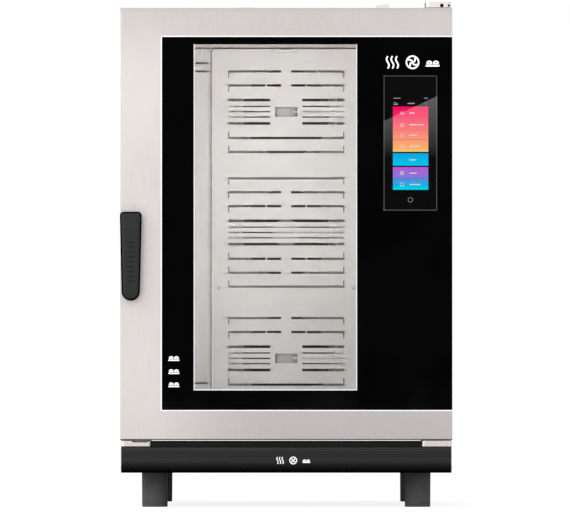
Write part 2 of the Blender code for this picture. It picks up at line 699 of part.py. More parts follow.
def make_drain():
    """Drain pipe under the cavity and the strainer that drops into its mouth."""
    x, y = DRAIN
    corners = [(x, y, CAVITY_FLOOR - SHEET - GAP), (x, y, DRAIN_OUTLET_Z), (x, REAR_FITTINGS, DRAIN_OUTLET_Z)]
    tube("drain_pipe", "bright_steel", bent_path(corners, 0.034), DRAIN_OUTER, 16, bore=DRAIN_OUTER - 0.0020)
    bottom, top, rim = CAVITY_FLOOR + GAP, CAVITY_FLOOR + 0.0030, 0.045
    hole_centres = circle(x, y, 0.0105, 6)
    holes = [circle(u, v, 0.0028, 6) for u, v in hole_centres]
    plate = prism("drain_strainer", "bright_steel", circle(x, y, rim), "z", bottom, top, holes)
    collar_outer, collar_bore, collar_low = 0.0172, 0.0152, CAVITY_FLOOR - 0.012
    collar = prism("tool", "bright_steel", circle(x, y, collar_outer, 16), "z", collar_low, bottom + 0.001,
                   [circle(x, y, collar_bore, 16)])
    return boolean(plate, "UNION", [collar])


def make_exhaust():
    """Steam exhaust pipe through the roof and the butterfly damper in it."""
    x, y = CHIMNEY
    low, high, rim = CAVITY_TOP + SHEET + GAP, 1.178, CHIMNEY_OUTER + 0.002
    shell = [(CHIMNEY_BORE, low), (CHIMNEY_OUTER, low), (CHIMNEY_OUTER, high - 0.004),
             (rim, high - 0.002), (rim, high), (CHIMNEY_BORE, high)]
    chimney = turned("exhaust_chimney", "bright_steel", shell, (x, y, 0.0), "z", 20, bored=True)
    pin_hole = rod("x", (y, DAMPER_Z), DAMPER_PIN + 0.0006, x - 0.030, x + 0.030, 12)
    boolean(chimney, "DIFFERENCE", [pin_hole])
    disc_radius, disc_half, pin_reach = CHIMNEY_BORE - 0.0012, 0.0010, 0.026
    disc = prism("exhaust_damper", "bright_steel", circle(x, y, disc_radius), "z",
                 DAMPER_Z - disc_half, DAMPER_Z + disc_half)
    pin = rod("x", (y, DAMPER_Z), DAMPER_PIN, x - pin_reach, x + pin_reach, 12)
    return boolean(disc, "UNION", [pin])


def make_vent_cowl():
    """Small cavity vent far back on the roof: a sloped hood open to the rear, with three ribs."""
    x, y = VENT_COWL
    half, floor, thickness = 0.016, ROOF_TOP + GAP, 0.003
    eave, ridge, first_rib, rib_pitch = 1.1865, 1.1900, x + 0.003, 0.005
    left, right = x - half, x + half
    top = [(left, eave)]
    for rib in range(3):
        start, crest = first_rib + rib * rib_pitch, ridge + 0.0020 + 0.0005 * rib
        top += [(start, ridge), (start + 0.0005, crest), (start + 0.0020, crest), (start + 0.0025, ridge)]
    outline = [(left, floor), (right, floor), (right, ridge), *reversed(top)]
    cowl = prism("roof_vent_cowl", "bright_steel", outline, "y", y - 0.015, y + 0.015)
    opening = rectangle(left + thickness, floor + 0.020, right - thickness, eave - thickness)
    mouth = block("steel", opening, "y", y - 0.010, y + 0.020)
    throat = rod("z", VENT_COWL, 0.008, floor - 0.010, floor + 0.024, 16)
    return boolean(cowl, "DIFFERENCE", [mouth, throat])


# ---------------------------------------------------------------- electronics
def make_boards():
    """Board tray beside the cavity and the power board in it, with its larger parts."""
    tray_face, tray_rim, board_face, board_back = 0.3700, 0.3550, 0.3610, 0.3630
    outer = rectangle(-0.220, 0.430, 0.120, 0.870)
    tray("control_board_tray", "galvanised", outer, inset(outer, SHEET), "x",
         tray_face, tray_face - SHEET, tray_rim)
    board = prism("power_board", "board", inset(outer, 0.020), "x", board_face, board_back)
    parts = [(-0.170, 0.500, 0.045, 0.060, 0.030), (-0.170, 0.620, 0.045, 0.040, 0.024),
             (-0.060, 0.500, 0.060, 0.035, 0.020), (0.030, 0.500, 0.030, 0.100, 0.035),
             (-0.060, 0.700, 0.080, 0.060, 0.026)]
    lumps = []
    for y, z, length, height, depth in parts:
        lump = rectangle(y, z, y + length, z + height)
        lumps.append(block("board", lump, "x", board_face - depth, board_face + 0.0005))
    return boolean(board, "UNION", lumps)


def make_cooling_fan():
    """Axial fan for the electronics: a square housing with a strut, and a wheel with seven blades."""
    x, z = COOLING_FAN
    half, front, back = 0.060, 0.4460, 0.4840
    outline = rounded(x - half, z - half, x + half, z + half, 0.006, 3)
    housing = prism("cooling_fan_housing", "black_plastic", outline, "y", front, back,
                    [circle(x, z, 0.055, 32)])
    strut = rectangle(x - 0.057, z - 0.003, x + 0.057, z + 0.003)
    boolean(housing, "UNION", [block("black_plastic", strut, "y", back - 0.004, back),
                               rod("y", (x, z), 0.020, back - 0.006, back)])

    hub, hub_front, hub_back = 0.022, front + 0.002, back - 0.008
    profile = [(0.0, hub_front), (hub - 0.001, hub_front), (hub, hub_front + 0.002), (hub, hub_back),
               (0.0, hub_back)]
    wheel = turned("cooling_fan_wheel", "grey_plastic", profile, (x, 0.0, z), "y", 20)
    blades, root, tip, half_turn = 7, 0.020, 0.052, 0.03
    edges = ((front + 0.005, 0.10), (back - 0.011, -0.38))
    bm = bmesh.new()
    for i in range(blades):
        sections = []
        for y, twist in edges:
            turn = 2 * math.pi * i / blades + twist
            blade = [(x + radius * math.cos(angle), z + radius * math.sin(angle))
                     for radius, angle in rectangle(root, turn - half_turn, tip, turn + half_turn)]
            sections.append((blade, y))
        add_loft(bm, sections, "y")
    return boolean(wheel, "UNION", [solid("tool", bm, "grey_plastic")])


def make_terminal_box():
    """Mains terminal box inside the rear panel, with its cable gland through the panel."""
    x, z = CABLE_ENTRY
    half_width, half_height, front, cable = 0.042, 0.050, 0.4300, 0.0065
    outline = rounded(x - half_width, z - half_height, x + half_width, z + half_height, 0.004, 2)
    box = prism("terminal_box", "grey_plastic", outline, "y", front, REAR_INSIDE - 0.0030)
    thread = rod("y", (x, z), GLAND_RADIUS, REAR_INSIDE - 0.006, REAR_FITTINGS - 0.004, 16)
    nut = rod("y", (x, z), GLAND_RADIUS + 0.003, REAR_FACE + 0.0015, REAR_FACE + 0.0095, 6)
    boolean(box, "UNION", [thread, nut])
    return boolean(box, "DIFFERENCE", [rod("y", (x, z), cable, 0.4700, REAR_FITTINGS + 0.010, 16)])


# ---------------------------------------------------------------- under and above the door
def make_drip_gutter():
    """Black gutter under the door that catches the condensate."""
    half_width, thickness = 0.3086, 0.003
    bottom, floor, rim = 0.1382, 0.1410, 0.1500
    outer = rectangle(-half_width, DOOR_FRONT + 0.009, half_width, CABINET_FRONT - GAP)
    return tray("drip_gutter", "black_plastic", outer, inset(outer, thickness), "z", bottom, floor, rim)


def make_door_brackets():
    """Door rest at the left corner and the two hinge brackets at the right."""
    front, back = DOOR_FRONT + 0.003, CABINET_FRONT - GAP
    near, far, corner = 0.3100, 0.3780, 0.006
    rest = prism("door_rest_bracket", "steel", rounded(-far, front, -near, back, corner, 3), "z",
                 BRACKET_LOW, BRACKET_HIGH)
    groove = rectangle(-0.3520, BRACKET_HIGH - 0.0035, -0.3150, BRACKET_HIGH + 0.001)
    boolean(rest, "DIFFERENCE", [block("steel", groove, "y", front - 0.002, back - 0.010)])
    soften(rest, 0.0008, 1)

    pin_centre, pin_hole, overrun = (HINGE_X, HINGE_Y), PIN_RADIUS + 0.0002, 0.010
    lower = prism("hinge_bracket_lower", "steel", rounded(near, front, far, back, corner, 3), "z",
                  BRACKET_LOW, BRACKET_HIGH)
    through = (BRACKET_LOW - overrun, BRACKET_HIGH + overrun)
    boolean(lower, "DIFFERENCE", [rod("z", pin_centre, pin_hole, *through)])

    plate, through = rounded(0.3186, front, 0.3770, -0.3200, 0.008), (ROOF_TOP - overrun, HINGE_TOP + overrun)
    upper = prism("hinge_bracket_upper", "steel", plate, "z", ROOF_TOP + GAP, HINGE_TOP)
    bolt_holes = [rod("z", (0.3470, y), 0.0045, *through, 12) for y in (-0.365, -0.340)]
    boolean(upper, "DIFFERENCE", [rod("z", pin_centre, pin_hole, *through), *bolt_holes])


def make_hinge_pins():
    """The two pins on which the door turns, each held in its bracket."""
    spans = {"lower": (BRACKET_LOW + 0.001, 0.1740), "upper": (1.1240, HINGE_TOP - 0.0002)}
    chamfer = 0.001
    for end, (low, high) in spans.items():
        profile = [(0.0, low), (PIN_RADIUS - chamfer, low), (PIN_RADIUS, low + chamfer),
                   (PIN_RADIUS, high - chamfer), (PIN_RADIUS - chamfer, high), (0.0, high)]
        turned(f"hinge_pin_{end}", "dark_steel", profile, (HINGE_X, HINGE_Y, 0.0), "z", 16)


def make_door_gasket():
    """Seal between the cavity front and the door, a soft bulb all round the opening."""
    near, bulb = 0.0085, 0.016
    far = near + bulb
    inner = rounded(-CAVITY_HALF - near, CAVITY_FLOOR - near, CAVITY_HALF + near, CAVITY_TOP + near, 0.006, 5)
    outer = rounded(-CAVITY_HALF - far, CAVITY_FLOOR - far, CAVITY_HALF + far, CAVITY_TOP + far, 0.020, 5)
    return prism("door_gasket", "rubber", outer, "y", DOOR_BACK + 0.0004, CABINET_FRONT - GAP, [inner])


# ---------------------------------------------------------------- door
def make_door_skin():
    """Outer steel skin: a pan with the bands left, above and below the glass."""
    left, right, low, high = -HALF_WIDTH, HALF_WIDTH, DOOR_BOTTOM, DOOR_TOP
    notch, under, over = GLASS_LEFT - GAP, GLASS_BOTTOM - GAP, GLASS_TOP + GAP
    outer = [(left, low), (right, low), (right, under), (notch, under),
             (notch, over), (right, over), (right, high), (left, high)]
    inner = [(left + SHEET, low + SHEET), (right - SHEET, low + SHEET), (right - SHEET, under - SHEET),
             (notch - SHEET, under - SHEET), (notch - SHEET, over + SHEET), (right - SHEET, over + SHEET),
             (right - SHEET, high - SHEET), (left + SHEET, high - SHEET)]
    spindle_hole = circle(HANDLE_X, HANDLE_PIVOT_Z, SPINDLE_RADIUS + 0.0008, 16)
    skin = tray("door_skin", "steel", outer, inner, "y", DOOR_FRONT, DOOR_FRONT + SHEET,
                DOOR_FRONT + SKIN_DEPTH, [spindle_hole])
    pin_hole, half = PIN_RADIUS + 0.0005, 0.004
    cuts = [rod("z", (HINGE_X, HINGE_Y), pin_hole, z - half, z + half) for z in (low, high)]
    return boolean(skin, "DIFFERENCE", cuts)


def make_door_glasses():
    """Full outer glass with its carrier frame behind it, and the inner pane."""
    glass_back = DOOR_FRONT + OUTER_PANE
    outline = rectangle(GLASS_LEFT, GLASS_BOTTOM, HALF_WIDTH, GLASS_TOP)
    soften(prism("door_outer_glass", "black_glass", outline, "y", DOOR_FRONT, glass_back), 0.0007, 1)
    border, border_width = rectangle(GLASS_LEFT + GAP, GLASS_BOTTOM + GAP, HALF_WIDTH, GLASS_TOP - GAP), 0.016
    prism("outer_glass_carrier", "black_plastic", border, "y", glass_back + GAP, DOOR_FRONT + SKIN_DEPTH,
          [inset(border, border_width)])
    pane = rounded(-0.2480, 0.1950, 0.2480, 1.0900, 0.006, 3)
    prism("door_inner_glass", "clear_glass", pane, "y", DOOR_BACK - 0.0058, DOOR_BACK - 0.0018)


def make_door_inner_frame():
    """Inner door pan that carries the inner pane and faces the gasket."""
    outer = rectangle(-0.3780, DOOR_BOTTOM + 0.002, 0.3780, DOOR_TOP - 0.002)
    window = rounded(-0.2350, 0.2100, 0.2350, 1.0720, 0.008)
    spindle_hole = circle(HANDLE_X, HANDLE_PIVOT_Z, SPINDLE_RADIUS + 0.0008, 16)
    return tray("door_inner_frame", "steel", outer, inset(outer, SHEET), "y", DOOR_BACK, DOOR_BACK - SHEET,
                DOOR_FRONT + SKIN_DEPTH + GAP, [window, spindle_hole])


def make_display_module():
    """Touch display behind the glass, with a shallower box on its back."""
    front, depth, box_depth, box_margin = DOOR_FRONT + OUTER_PANE + GAP, 0.012, 0.018, 0.016
    face = rounded(*SCREEN, 0.003, 3)
    module = prism("display_module", "black_plastic", face, "y", front, front + depth)
    box = block("black_plastic", inset(rectangle(*SCREEN), box_margin), "y",
                front + depth - 0.001, front + box_depth)
    return boolean(module, "UNION", [box])


def make_led_bar():
    """Light bar in the door, along the right edge of the window."""
    _, low, right, high = WINDOW
    front, back = DOOR_FRONT + OUTER_PANE + 0.0023, DOOR_FRONT + OUTER_PANE + 0.0123
    bar = rounded(right + 0.0105, low + 0.010, right + 0.0225, high - 0.010, 0.004, 3)
    return prism("door_led_bar", "led", bar, "y", front, back)


def make_handle_lever():
    """Tapered lever with a round lower end, and its boss against the door."""
    top, low, corner, thickness = 0.6754, 0.4724, 0.009, 0.022
    top_half, low_half = 0.0250, 0.0207
    outline = arc(HANDLE_X, low + low_half, low_half, 180, 360, 8)
    outline += arc(HANDLE_X + top_half - corner, top - corner, corner, 0, 90, 3)
    outline += arc(HANDLE_X - top_half + corner, top - corner, corner, 90, 180, 3)
    lever = prism("handle_lever", "grey_plastic", outline, "y", HANDLE_FRONT, HANDLE_FRONT + thickness)
    soften(lever, 0.0055, 3)
    pivot, boss_radius = (HANDLE_X, HANDLE_PIVOT_Z), 0.0170
    boolean(lever, "UNION", [rod("y", pivot, boss_radius, HANDLE_FRONT + 0.015, DOOR_FRONT - GAP, 24)])
    bore = rod("y", pivot, SPINDLE_RADIUS + GAP, HANDLE_FRONT + 0.025, DOOR_FRONT + 0.010, 16)
    return boolean(lever, "DIFFERENCE", [bore])


def make_latch_spindle():
    """Spindle through the door, with the hook that pulls against the striker."""
    hook_front = CABINET_FRONT + SHEET + 0.0048
    hook_back = hook_front + 0.004
    stem = circle(HANDLE_X, HANDLE_PIVOT_Z, SPINDLE_RADIUS, 16)
    spindle = prism("latch_spindle", "steel", stem, "y", HANDLE_FRONT + 0.0255, hook_back)
    root, reach, half, nose, tilt = -0.004, 0.030, 0.0055, 0.003, math.radians(-60)
    corners = [(root, -half), (reach - nose, -half), (reach, nose - half), (reach, half - nose),
               (reach - nose, half), (root, half)]
    hook = [(HANDLE_X + along * math.cos(tilt) - across * math.sin(tilt),
             HANDLE_PIVOT_Z + along * math.sin(tilt) + across * math.cos(tilt)) for along, across in corners]
    return boolean(spindle, "UNION", [block("steel", hook, "y", hook_front, hook_back)])


def build():
    for obj in list(bpy.data.objects):
        bpy.data.objects.remove(obj, do_unlink=True)
    make_base_chassis()
    make_front_base_trim()
    make_legs()
    make_side_panels()
    make_roof_panel()
    make_rear_panel()
    make_front_frame()
    make_latch_striker()
    make_cavity_liner()
    make_insulation_jacket()
    make_fan_baffle()
    make_air_guides()
    make_racks()
    for name, height in FAN_HEIGHTS.items():
        make_fan_wheel(name, height)
        make_fan_motor(name, height)
        make_heating_element(name, height)
    make_water_injector()
    make_water_inlet_valve()
    make_drain()
    make_exhaust()
    make_vent_cowl()
    make_boards()
    make_cooling_fan()
    make_terminal_box()
    make_drip_gutter()
    make_door_brackets()
    make_hinge_pins()
    make_door_gasket()
    make_door_skin()
    make_door_glasses()
    make_door_inner_frame()
    make_display_module()
    make_led_bar()
    make_handle_lever()
    make_latch_spindle()


build()
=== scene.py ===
"""Looks of the combi steamer oven: finer pieces, materials, display, marks, light and camera.

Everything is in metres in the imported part's own frame: X to the right seen from the front, the door
faces -Y, Z up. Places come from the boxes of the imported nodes.
"""

import json
import math

import bmesh
import bpy
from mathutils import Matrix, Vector


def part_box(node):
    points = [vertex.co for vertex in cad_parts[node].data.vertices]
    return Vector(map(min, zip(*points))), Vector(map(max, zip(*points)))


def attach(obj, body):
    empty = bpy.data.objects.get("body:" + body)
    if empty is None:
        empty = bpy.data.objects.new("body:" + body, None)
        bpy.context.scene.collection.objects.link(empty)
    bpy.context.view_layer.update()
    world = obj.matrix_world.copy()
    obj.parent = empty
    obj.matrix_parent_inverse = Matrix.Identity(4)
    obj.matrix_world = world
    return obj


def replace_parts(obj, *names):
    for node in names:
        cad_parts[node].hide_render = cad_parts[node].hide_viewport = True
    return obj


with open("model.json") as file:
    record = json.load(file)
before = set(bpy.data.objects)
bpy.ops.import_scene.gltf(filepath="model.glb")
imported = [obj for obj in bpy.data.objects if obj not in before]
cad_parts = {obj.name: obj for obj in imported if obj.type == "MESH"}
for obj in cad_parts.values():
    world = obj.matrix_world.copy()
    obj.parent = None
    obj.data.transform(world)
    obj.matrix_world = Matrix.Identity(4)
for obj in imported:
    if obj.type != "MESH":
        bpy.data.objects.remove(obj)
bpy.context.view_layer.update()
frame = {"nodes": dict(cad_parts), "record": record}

# ---------------------------------------------------------------- places taken from the frame
DOOR_LOW, DOOR_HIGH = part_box("door_skin")
GLASS_LOW, GLASS_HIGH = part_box("door_outer_glass")
SCREEN_LOW, SCREEN_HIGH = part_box("display_module")
LED_LOW, LED_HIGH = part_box("door_led_bar")
LEVER_LOW, LEVER_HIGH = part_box("handle_lever")
TRIM_LOW, TRIM_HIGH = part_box("front_base_trim")
BAFFLE_LOW, BAFFLE_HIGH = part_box("fan_baffle")
REAR_LOW, REAR_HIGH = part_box("rear_panel")
ROOF_LOW, ROOF_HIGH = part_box("roof_panel")

DOOR_FRONT = DOOR_LOW.y
WINDOW_LEFT = GLASS_LOW.x + 0.0725
WINDOW_RIGHT = LED_LOW.x - 0.0138
WINDOW_BOTTOM = LED_LOW.z - 0.0085
WINDOW_TOP = LED_HIGH.z + 0.0097
ROUND_SIDES = 64


# ---------------------------------------------------------------- mesh helpers
def finished(name, bm, material, body, sharp_angle=32):
    """Turn a bmesh into a piece that rides on a body, with outward faces and smooth round stretches."""
    bmesh.ops.recalc_face_normals(bm, faces=bm.faces)
    mesh = bpy.data.meshes.new(name)
    bm.to_mesh(mesh)
    bm.free()
    mesh.shade_smooth()
    mesh.set_sharp_from_angle(angle=math.radians(sharp_angle))
    mesh.materials.append(material)
    piece = bpy.data.objects.new(name, mesh)
    bpy.context.scene.collection.objects.link(piece)
    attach(piece, body)
    return piece


def place(u, v, axis, level):
    """Point of a flat outline: (x, y) on a z level, (x, z) on a y level, (y, z) on an x level."""
    if axis == "z":
        return (u, v, level)
    if axis == "y":
        return (u, level, v)
    return (level, u, v)


def ring(bm, outline, axis, level):
    return [bm.verts.new(place(u, v, axis, level)) for u, v in outline]


def wall(bm, first, second):
    """Quads between two rings with the same number of points."""
    count = len(first)
    for i in range(count):
        j = (i + 1) % count
        bm.faces.new((first[i], first[j], second[j], second[i]))


def cap(bm, rings):
    """Flat face over the first ring, with the other rings as holes in it."""
    if len(rings) == 1:
        bm.faces.new(rings[0])
        return
    edges = []
    for verts in rings:
        for i, vert in enumerate(verts):
            pair = (vert, verts[(i + 1) % len(verts)])
            edges.append(bm.edges.get(pair) or bm.edges.new(pair))
    bmesh.ops.triangle_fill(bm, edges=edges, use_beauty=True)


def add_prism(bm, outline, axis, low, high, holes=()):
    """A flat outline with holes, extruded along an axis."""
    lower = [ring(bm, line, axis, low) for line in (outline, *holes)]
    upper = [ring(bm, line, axis, high) for line in (outline, *holes)]
    cap(bm, lower)
    cap(bm, upper)
    for first, second in zip(lower, upper):
        wall(bm, first, second)


def add_loft(bm, sections, axis):
    """A solid through (outline, level) sections that all have the same number of points."""
    rings = [ring(bm, outline, axis, level) for outline, level in sections]
    for first, second in zip(rings, rings[1:]):
        wall(bm, first, second)
    cap(bm, [rings[0]])
    cap(bm, [rings[-1]])


def add_turned(bm, profile, centre, axis, sides=ROUND_SIDES, bored=False):
    """Revolve (radius, height) points about an axis; a bored profile closes on itself."""
    rings = []
    for radius, height in profile:
        steps = sides if radius > 0 else 1
        points = []
        for i in range(steps):
            angle = 2 * math.pi * i / sides
            across, up = radius * math.cos(angle), radius * math.sin(angle)
            offset = {"x": (height, across, up), "y": (across, height, up), "z": (across, up, height)}
            points.append(bm.verts.new(Vector(centre) + Vector(offset[axis])))
        rings.append(points)
    pairs = list(zip(rings, rings[1:]))
    if bored:
        pairs.append((rings[-1], rings[0]))
    for first, second in pairs:
        if len(first) == 1 or len(second) == 1:
            pole, rim = (first[0], second) if len(first) == 1 else (second[0], first)
            for i in range(sides):
                bm.faces.new((pole, rim[i], rim[(i + 1) % sides]))
        else:
            wall(bm, first, second)


def turned_piece(name, profile, centre, axis, material, body, bored=False):
    bm = bmesh.new()
    add_turned(bm, profile, centre, axis, ROUND_SIDES, bored)
    return finished(name, bm, material, body)


def rectangle(u0, v0, u1, v1):
    return [(u0, v0), (u1, v0), (u1, v1), (u0, v1)]


def rounded(u0, v0, u1, v1, radius, steps=5):
    """A rectangle with quarter-circle corners."""
    corners = [(u1 - radius, v1 - radius), (u0 + radius, v1 - radius),
               (u0 + radius, v0 + radius), (u1 - radius, v0 + radius)]
    outline = []
    for quarter, (u, v) in enumerate(corners):
        for i in range(steps + 1):
            angle = math.pi / 2 * (quarter + i / steps)
            outline.append((u + radius * math.cos(angle), v + radius * math.sin(angle)))
    return outline


def circle(u, v, radius, sides=32):
    angles = [2 * math.pi * i / sides for i in range(sides)]
    return [(u + radius * math.cos(angle), v + radius * math.sin(angle)) for angle in angles]


def arc(u, v, radius, start, end, steps=12):
    """Points of an arc, angles in degrees."""
    angles = [math.radians(start + (end - start) * i / steps) for i in range(steps + 1)]
    return [(u + radius * math.cos(angle), v + radius * math.sin(angle)) for angle in angles]


def add_stroke(bm, points, width, low, high):
    """A ribbon of even width along points in the XZ plane, between two y levels."""
    left, right = [], []
    for i, point in enumerate(points):
        before = Vector(points[max(i - 1, 0)])
        after = Vector(points[min(i + 1, len(points) - 1)])
        along = (after - before).normalized()
        side = Vector((-along.y, along.x)) * width / 2
        left.append(tuple(Vector(point) + side))
        right.append(tuple(Vector(point) - side))
    add_prism(bm, left + right[::-1], "y", low, high)


# ---------------------------------------------------------------- material graph
def linear(red, green, blue):
    """Linear colour of a display colour given in 0..255."""
    def channel(value):
        share = value / 255
        return share / 12.92 if share <= 0.04045 else ((share + 0.055) / 1.055) ** 2.4
    return (channel(red), channel(green), channel(blue), 1.0)


def shade(colour, factor):
    return (colour[0] * factor, colour[1] * factor, colour[2] * factor, 1.0)


class Graph:
    """A material's node tree under construction. An input is a plain value or another node's output."""

    def __init__(self, name):
        self.material = bpy.data.materials.new(name)
        self.material.use_nodes = True
        self.tree = self.material.node_tree
        self.tree.nodes.clear()
        self.here = self.add("ShaderNodeTexCoord").outputs["Object"]
        self.x, self.y, self.z = self.add("ShaderNodeSeparateXYZ", {"Vector": self.here}).outputs

    def add(self, kind, inputs=None, **settings):
        node = self.tree.nodes.new(kind)
        for key, value in settings.items():
            setattr(node, key, value)
        for key, value in (inputs or {}).items():
            if isinstance(value, bpy.types.NodeSocket):
                self.tree.links.new(value, node.inputs[key])
            else:
                node.inputs[key].default_value = value
        return node

    def math(self, operation, first, second=0.0):
        return self.add("ShaderNodeMath", {0: first, 1: second}, operation=operation).outputs[0]

    def ranged(self, value, low, high, to_low, to_high):
        """Map low..high of a value to to_low..to_high, clamped."""
        inputs = {"Value": value, "From Min": low, "From Max": high, "To Min": to_low, "To Max": to_high}
        return self.add("ShaderNodeMapRange", inputs).outputs[0]

    def stretched(self, x, y, z):
        """This object's coordinates, scaled along each axis."""
        return self.add("ShaderNodeMapping", {"Vector": self.here, "Scale": (x, y, z)}).outputs[0]

    def noise(self, scale, detail=2.0, vector=None, distortion=0.0):
        inputs = {"Vector": vector or self.here, "Scale": scale, "Detail": detail, "Distortion": distortion}
        return self.add("ShaderNodeTexNoise", inputs).outputs[0]

    def cells(self, scale, output="Distance", vector=None):
        inputs = {"Vector": vector or self.here, "Scale": scale}
        return self.add("ShaderNodeTexVoronoi", inputs).outputs[output]

    def ramp(self, value, stops):
        """Colours along a value: (position, colour) stops."""
        node = self.add("ShaderNodeValToRGB", {0: value})
        elements = node.color_ramp.elements
        for extra in range(len(stops) - 2):
            elements.new(0.5)
        for element, (position, colour) in zip(elements, stops):
            element.position = position
            element.color = colour
        return node.outputs[0]

    def mix(self, factor, first, second):
        """Blend of two colours."""
        node = self.add("ShaderNodeMix", {0: factor, 6: first, 7: second}, data_type="RGBA")
        return node.outputs[2]

    def bump(self, height, distance, strength=1.0):
        inputs = {"Height": height, "Distance": distance, "Strength": strength}
        return self.add("ShaderNodeBump", inputs).outputs[0]

    def inside(self, left, bottom, right, top):
        """1 inside a rectangle of the XZ plane, 0 outside."""
        result = self.math("GREATER_THAN", self.x, left)
        tests = (("LESS_THAN", self.x, right), ("GREATER_THAN", self.z, bottom), ("LESS_THAN", self.z, top))
        for operation, value, limit in tests:
            result = self.math("MULTIPLY", result, self.math(operation, value, limit))
        return result

    def surface(self, colour, roughness, metallic=0.0, normal=None, specular=0.5):
        inputs = {"Base Color": colour, "Roughness": roughness, "Metallic": metallic,
                  "Specular IOR Level": specular}
        if normal:
            inputs["Normal"] = normal
        return self.add("ShaderNodeBsdfPrincipled", inputs).outputs[0]

    def done(self, shader):
        output = self.add("ShaderNodeOutputMaterial", {"Surface": shader})
        output.is_active_output = True
        return self.material


# ---------------------------------------------------------------- materials
def brushed_steel(name, colour, grain, roughness, metallic=1.0):
    """Sheet steel with a fine brushed grain along one axis, faint clouds and wiping marks."""
    across, along = 2200.0, 14.0
    graph = Graph(name)
    scales = [along if axis == grain else across for axis in "xyz"]
    lines = graph.noise(1.0, 3.0, graph.stretched(*scales))
    clouds = graph.noise(2.2, 3.0, distortion=0.6)
    marks = graph.noise(9.0, 4.0, distortion=1.2)
    tone = graph.ramp(lines, [(0.32, shade(colour, 0.93)), (0.68, shade(colour, 1.04))])
    tone = graph.mix(graph.ranged(clouds, 0.35, 0.70, 0.0, 0.5), tone, shade(colour, 0.94))
    rough = graph.ranged(lines, 0.3, 0.7, roughness - 0.05, roughness + 0.05)
    rough = graph.math("ADD", rough, graph.ranged(marks, 0.45, 0.75, -0.02, 0.05))
    return graph.done(graph.surface(tone, rough, metallic, graph.bump(lines, 0.00002, 0.5)))


def polished_steel(name, colour, roughness, glow=0.0):
    """Bright bar or edge steel, with faint long scratches; glow adds a painted highlight, an emission that lifts an
    edge as if it caught the light.
    """
    graph = Graph(name)
    scratches = graph.noise(900.0, 5.0, distortion=2.0)
    tone = graph.ramp(scratches, [(0.35, shade(colour, 0.94)), (0.65, shade(colour, 1.0))])
    rough = graph.ranged(scratches, 0.3, 0.7, roughness - 0.04, roughness + 0.06)
    body = graph.surface(tone, rough, 1.0, graph.bump(scratches, 0.00001, 0.4))
    # Painted highlight: an emission in the steel's own tone.
    light = graph.add("ShaderNodeEmission", {"Color": tone, "Strength": glow}).outputs[0]
    return graph.done(graph.add("ShaderNodeAddShader", {0: body, 1: light}).outputs[0])


def galvanised_sheet(name, colour):
    """Zinc-coated sheet: a patchwork of crystals with different greys."""
    graph = Graph(name)
    crystals = graph.cells(170.0, "Color")
    grey = graph.add("ShaderNodeRGBToBW", {0: crystals}).outputs[0]
    tone = graph.ramp(grey, [(0.2, shade(colour, 0.82)), (0.8, shade(colour, 1.10))])
    rough = graph.ranged(grey, 0.2, 0.8, 0.38, 0.60)
    return graph.done(graph.surface(tone, rough, 0.9, graph.bump(grey, 0.00003, 0.4)))


def heated_steel(name, colour):
    """Steel that heat has darkened, with brown and blue clouds."""
    graph = Graph(name)
    clouds = graph.noise(38.0, 5.0, distortion=0.8)
    red, green, blue = colour
    brown, steel_blue = (red * 1.4, green * 1.2, blue, 1.0), (red * 1.1, green * 1.15, blue * 1.35, 1.0)
    stops = [(0.30, shade(colour, 0.8)), (0.48, brown), (0.60, steel_blue), (0.75, shade(colour, 1.3))]
    pits = graph.noise(1400.0, 3.0)
    rough = graph.ranged(clouds, 0.3, 0.7, 0.36, 0.55)
    return graph.done(graph.surface(graph.ramp(clouds, stops), rough, 0.85, graph.bump(pits, 0.00004, 0.5)))


def moulded_plastic(name, colour, roughness, grain_size, grain_depth, specular=0.5):
    """Moulded plastic with a fine spark-eroded grain and slightly worn, lighter patches."""
    graph = Graph(name)
    grain = graph.noise(1.0 / grain_size, 4.0)
    wear = graph.noise(12.0, 4.0, distortion=0.5)
    tone = graph.ramp(wear, [(0.35, shade(colour, 0.88)), (0.70, shade(colour, 1.16))])
    rough = graph.ranged(wear, 0.3, 0.7, roughness - 0.05, roughness + 0.06)
    normal = graph.bump(grain, grain_depth, 0.6)
    return graph.done(graph.surface(tone, rough, 0.0, normal, specular))


def silicone_rubber(name, colour):
    """Matt silicone with a dusty bloom."""
    graph = Graph(name)
    dust = graph.noise(60.0, 6.0)
    fine = graph.noise(1800.0, 3.0)
    tone = graph.ramp(dust, [(0.40, shade(colour, 0.9)), (0.75, shade(colour, 1.9))])
    rough = graph.ranged(dust, 0.3, 0.7, 0.58, 0.78)
    return graph.done(graph.surface(tone, rough, 0.0, graph.bump(fine, 0.00004, 0.6), 0.35))


def mineral_wool(name, colour):
    """Matted fibres, yellowish brown, with loose strands."""
    graph = Graph(name)
    strands = graph.noise(1.0, 6.0, graph.stretched(260.0, 60.0, 900.0), 1.5)
    clumps = graph.noise(45.0, 4.0)
    tone = graph.ramp(strands, [(0.35, shade(colour, 0.55)), (0.65, shade(colour, 1.15))])
    tone = graph.mix(graph.ranged(clumps, 0.35, 0.7, 0.0, 0.4), tone, shade(colour, 0.7))
    return graph.done(graph.surface(tone, 0.95, 0.0, graph.bump(strands, 0.0015, 0.9), 0.1))


def circuit_board(name, colour):
    """Green solder mask with copper tracks showing through as lighter lines."""
    graph = Graph(name)
    tracks = graph.add("ShaderNodeTexBrick", {"Vector": graph.stretched(60.0, 60.0, 60.0), "Scale": 1.0,
                                              "Mortar Size": 0.03, "Color1": shade(colour, 1.0),
                                              "Color2": shade(colour, 0.8), "Mortar": shade(colour, 2.2)})
    dirt = graph.noise(90.0, 4.0)
    rough = graph.ranged(dirt, 0.3, 0.7, 0.30, 0.55)
    return graph.done(graph.surface(tracks.outputs[0], rough, 0.0, graph.bump(dirt, 0.0001, 0.3)))


